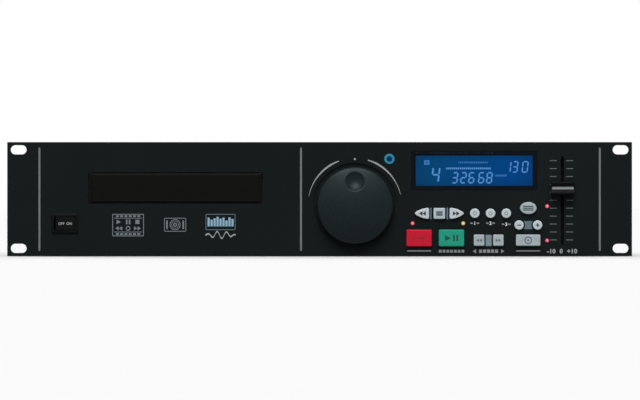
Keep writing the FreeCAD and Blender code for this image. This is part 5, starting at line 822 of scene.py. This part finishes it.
for number in (1, 2, 3):
    x, _, key_z = middle(f"mode_button_{number}")
    z = key_z - (7.6 if number < 3 else 8.4)
    numerals(f"mode_legend_{number}", str(number), x, z, 2.5, "front_panel", "case", WHITE_INK, bold=0.12)
    panel_mark(f"mode_legend_rules_{number}", row_of(2, x, z, 4.8, 2.0, 1.0), GREY_INK)

STOP_X, _, STOP_Z = middle("stop_button")
MINUS_X, _, BEND_Z = middle("bend_minus_button")
PLUS_X = middle("bend_plus_button").x
BEND_RIM = 4.75  # the link between the two keys ends on circles of this radius round them
bend_link = hollow_bar((MINUS_X + PLUS_X) / 2, BEND_Z, (PLUS_X - MINUS_X) / 2, BEND_RIM, 3.1)
stop_links = [bar(STOP_X - 6.45, STOP_Z, 1.0, 9.0), bar(STOP_X + 6.2, STOP_Z, 1.2, 9.0)]
panel_mark("key_links", stop_links + [bend_link], BLUE_INK)
panel_mark("search_link", [bar(SEARCH_X, SEARCH_Z - 0.1, 4.6, 8.6)], LINK_INK)

PLAYER_X, SYMBOL_Z = -147.9, -20.1
PLAYER_SYMBOLS = (  # left to right, the upper row first
    lambda x, z: [arrow(x, z, 3.4, 3.6, 1)],
    lambda x, z: row_of(2, x, z, 2.2, 1.2, 3.6),
    lambda x, z: [bar(x, z, 3.2, 3.2)],
    lambda x, z: arrows(x, z, 2.6, 3.2, -1, 2.8),
    lambda x, z: ring(x, z, 1.8, 1.1),
    lambda x, z: arrows(x, z, 2.6, 3.2, 1, 2.8),
)
panel_mark("transport_frame", frame_of(PLAYER_X, SYMBOL_Z, 24.4, 17.2, 0.55, 0.8)
           + [bar(PLAYER_X, SYMBOL_Z + dz, 21.6, 0.45) for dz in (5.3, -5.3)], BADGE_INK)
symbols = []
for k, symbol in enumerate(PLAYER_SYMBOLS):
    symbols += symbol(PLAYER_X + 7.2 * (k % 3 - 1), SYMBOL_Z + 2.5 - 5.0 * (k // 3))
for dz in (6.9, -6.9):
    symbols += row_of(6, PLAYER_X, SYMBOL_Z + dz, 3.3, 2.2, 1.4)
panel_mark("transport_symbols", symbols, BADGE_INK)

DISC_X, DISC_Z = -111.6, -19.8
disc_symbol = frame_of(DISC_X, DISC_Z, 17.0, 10.6, 0.5, 1.0) + row_of(2, DISC_X, DISC_Z, 12.6, 1.2, 6.6)
for outer, inner in ((4.2, 3.65), (2.85, 2.45), (1.5, 0.7)):
    disc_symbol += ring(DISC_X, DISC_Z, outer, inner)
panel_mark("disc_symbol", disc_symbol, BADGE_INK)

METER_X, METER_Z = -76.5, -17.7
LEVELS = (6.8, 5.2, 6.2, 7.4, 6.0, 6.8, 4.6, 7.0, 5.8)
panel_mark("level_frame", frame_of(METER_X, METER_Z, 23.0, 12.4, 0.5, 0.6), BLUE_INK)
panel_mark("level_bars", [bar(METER_X + 2.3 * (k - 4), METER_Z - 3.4 + h / 2, 1.65, h)
                          for k, h in enumerate(LEVELS)], PALE_BLUE_INK)
WAVE_Z, WAVE_SWING, WAVE_HALF = -27.6, 2.8, 0.6  # the last is half the line's thickness
wave = [(METER_X + 0.6 * (k - 19.5), WAVE_Z + WAVE_SWING * math.sin(0.52 * k) * math.sin(math.pi * k / 39))
        for k in range(40)]
wave_line = [(x, z + WAVE_HALF) for x, z in wave] + [(x, z - WAVE_HALF) for x, z in reversed(wave)]
panel_mark("wave_line", [wave_line], SILVER_INK)


# ================================================================ marks on the keys, rocker and fader
def skip_mark(node, side):
    """The two arrows on a skip key, the leading one a little longer."""
    x, _, z = middle(node)
    pointers = [arrow(x + side * 1.07, z, 2.8, 3.6, side), arrow(x - side * 1.63, z, 2.6, 3.6, side)]
    key_mark(node, pointers, DARK_INK)


skip_mark("skip_back_button", -1)
key_mark("stop_button", [bar(STOP_X, STOP_Z, 5.0, 3.8)], SOFT_INK)
skip_mark("skip_forward_button", 1)
for number in (1, 2, 3):
    x, _, z = middle(f"mode_button_{number}")
    key_mark(f"mode_button_{number}", ring(x, z, 1.5, 1.05), SOFT_INK)
x, _, z = middle("menu_button")
key_mark("menu_button", [bar(x, z + dz, 8.0, 0.8) for dz in (-1.4, 0.0, 1.4)], DARK_INK)
key_mark("bend_minus_button", [bar(MINUS_X, BEND_Z, 3.0, 0.8)], DARK_INK)
key_mark("bend_plus_button", [plus(PLUS_X, BEND_Z, 1.5, 0.4)], DARK_INK)
z = middle("cue_button").z
key_mark("cue_button", [bar(CUE_X - 3.9, z, 1.5, 4.6), arrow(CUE_X + 1.0, z, 6.4, 4.6, -1)], RED_INK)
key_mark("play_button", [arrow(PLAY_X - 2.6, z, 5.0, 4.6, 1)] + row_of(2, PLAY_X + 3.1, z, 2.6, 1.5, 4.6),
         GREEN_INK)
for node, side in (("search_back_button", -1), ("search_forward_button", 1)):
    x, _, z = middle(node)
    key_mark(node, arrows(x, z, 2.0, 3.0, side, 2.3), SOFT_INK)
z = middle("pitch_button").z
key_mark("pitch_button", ring(PITCH_X, z, 3.0, 2.1) + [disc(PITCH_X, z, 0.8)], SOFT_INK)
mark("fader_line", [soft_bar(FADER_X, FADER_Z, 16.6, 1.9, 0.4)], "fader_cap", "fader", GREY_INK, fine=0.001)
SWITCH_X, _, SWITCH_Z = middle("power_switch_body")
for word, dx in (("on", 3.5), ("off", -2.5)):
    numerals(f"rocker_{word}", word.upper(), SWITCH_X + dx, SWITCH_Z - 0.3, 1.9, "power_rocker", "rocker",
             SILVER_INK, bold=0.06)

# ================================================================ the display's marks
LCD_X, _, LCD_Z = middle("lcd_module")
TIME_Z, PITCH_Z = LCD_Z - 5.5, LCD_Z + 2.9
display_mark("track_number", seven("4", LCD_X - 29.7, LCD_Z - 3.2, 6.3, 12.6, 1.3), DIGIT)
time_numbers = []
for text, dx in (("3", -14.8), ("26", -8.2), ("68", 5.6)):
    time_numbers += seven(text, LCD_X + dx, TIME_Z, 4.8, 8.9, 1.1, 6.2)
display_mark("time_numbers", time_numbers, DIGIT)
display_mark("pitch_number", seven("13", LCD_X + 26.4, PITCH_Z, 4.5, 9.0, 1.0, 5.4)
             + seven("0", LCD_X + 39.4, PITCH_Z, 4.9, 9.0, 1.0), DIGIT)
display_mark("progress_marks", row_of(23, LCD_X - 4.38, LCD_Z + 1.7, 1.52, 1.15, 1.4, LEAN), DIGIT)
display_mark("status_marks", row_of(17, LCD_X - 0.8, LCD_Z + 6.3, 1.35, 0.8, 1.2, LEAN)
             + row_of(6, LCD_X + 20.75, LCD_Z - 3.8, 1.5, 0.9, 1.5, LEAN), SMALL_DIGIT)
ICON_X, ICON_Z = LCD_X - 36.6, LCD_Z + 6.3
display_mark("mode_icon", frame_of(ICON_X, ICON_Z, 4.2, 3.6, 1.1, 0.5) + [bar(ICON_X, ICON_Z, 1.2, 0.7)],
             SMALL_DIGIT)

# ================================================================ prints on the back, x as seen from there
numerals("mains_symbol", "~", -INLET_X, INLET_Z + 18.5, 3.6, "chassis_base", "case", WHITE_INK, rear=True)
sockets_x = (*COAX_X, REMOTE_X)
for number, x in enumerate(sockets_x, 1):
    numerals(f"socket_number_{number}", str(number), -x, SOCKETS_Z + 11, 3.0, "chassis_base", "case",
             WHITE_INK, rear=True)
rules = [bar(-x, SOCKETS_Z + 8.2, 9.0, 0.45) for x in sockets_x]
mark("socket_rules", rules, "chassis_base", "case", WHITE_INK, rear=True)


# ================================================================ floor, light and camera
def white_to_view(nodes, plain, bright):
    """Mixes two shaders: plain for the light on the object, bright for what is seen, even by reflection."""
    path = nodes.add("LightPath").outputs
    either = path["Is Camera Ray"]
    for other in ("Is Glossy Ray", "Is Transmission Ray"):
        either = nodes.maths("MAXIMUM", either, path[other])
    mixed = nodes.add("MixShader", Fac=either)
    nodes.feed(plain, mixed.inputs[1])
    nodes.feed(bright, mixed.inputs[2])
    return mixed.outputs["Shader"]


def grey(level):
    """A colour of this level in all its parts."""
    return (level, level, level, 1.0)


SKY = 0.25  # the world's strength for the light that falls on the object
FLOOR_SEEN, FLOOR_GLOW = 0.5, 0.14  # the floor's grey and its own light, to the view
FLOOR_BOUNCE = 0.2  # its grey for the light that it throws on the object
FLOOR_HALF = 14.0  # half its width

world = bpy.data.worlds.new("studio")
bpy.context.scene.world = world
world.use_nodes = True
world.node_tree.nodes.clear()
nodes = Nodes(world.node_tree)
soft, bright = (nodes.add("Background", Color=WHITE, Strength=s).outputs["Background"] for s in (SKY, 1.0))
nodes.add("OutputWorld", Surface=white_to_view(nodes, soft, bright))

floor_material = bpy.data.materials.new("floor_white")
floor_material.use_nodes = True
floor_material.node_tree.nodes.clear()
nodes = Nodes(floor_material.node_tree)
matt, dull = (nodes.add("BsdfDiffuse", Color=grey(c)).outputs["BSDF"] for c in (FLOOR_SEEN, FLOOR_BOUNCE))
glowing_floor = nodes.add("AddShader")
nodes.feed(matt, glowing_floor.inputs[0])
nodes.feed(nodes.add("Emission", Strength=FLOOR_GLOW).outputs["Emission"], glowing_floor.inputs[1])
nodes.add("OutputMaterial", Surface=white_to_view(nodes, dull, glowing_floor.outputs["Shader"]))

floor_z = CAD_BOX[0].z
corners = [(x * FLOOR_HALF, y * FLOOR_HALF, floor_z) for x, y in ((-1, -1), (1, -1), (1, 1), (-1, 1))]
floor_mesh = bpy.data.meshes.new("floor")
floor_mesh.from_pydata(corners, [], [(0, 1, 2, 3)])
floor_mesh.materials.append(floor_material)
floor = shown("floor", floor_mesh)

AIM = Vector((0, 0.1, 0))  # what the lamps point at


def sun(name, place, strength, spread):
    """A sun that shines from this place towards the object, as wide as spread in degrees."""
    light = bpy.data.lights.new(name, "SUN")
    light.energy = strength
    light.angle = math.radians(spread)
    holder = shown(name, light)
    holder.location = place
    holder.rotation_euler = (AIM - Vector(place)).to_track_quat("-Z", "Y").to_euler()


sun("key", (-0.08, -1.0, 1.4), 3.8, 40)
for name, x in (("left", -1.5), ("right", 1.5)):
    sun(name, (x, 1.3, 1.0), 1.5, 30)

LENS_MM, SENSOR_MM = 200.0, 36.0
VIEW_W = 0.49425  # what the picture's width spans on the panel's face
VIEW_X, VIEW_Z = 0.0003, -0.0007  # where the middle of the picture is on it
FRONT_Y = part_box("front_panel")[0].y
camera_data = bpy.data.cameras.new("camera")
camera_data.lens, camera_data.sensor_width = LENS_MM, SENSOR_MM
camera_data.clip_end = 60.0
camera = shown("camera", camera_data)
camera.location = (VIEW_X, FRONT_Y - VIEW_W * LENS_MM / SENSOR_MM, VIEW_Z)
camera.rotation_euler = (math.pi / 2, 0, 0)
bpy.context.scene.camera = camera
bpy.context.scene.view_settings.view_transform = "Standard"
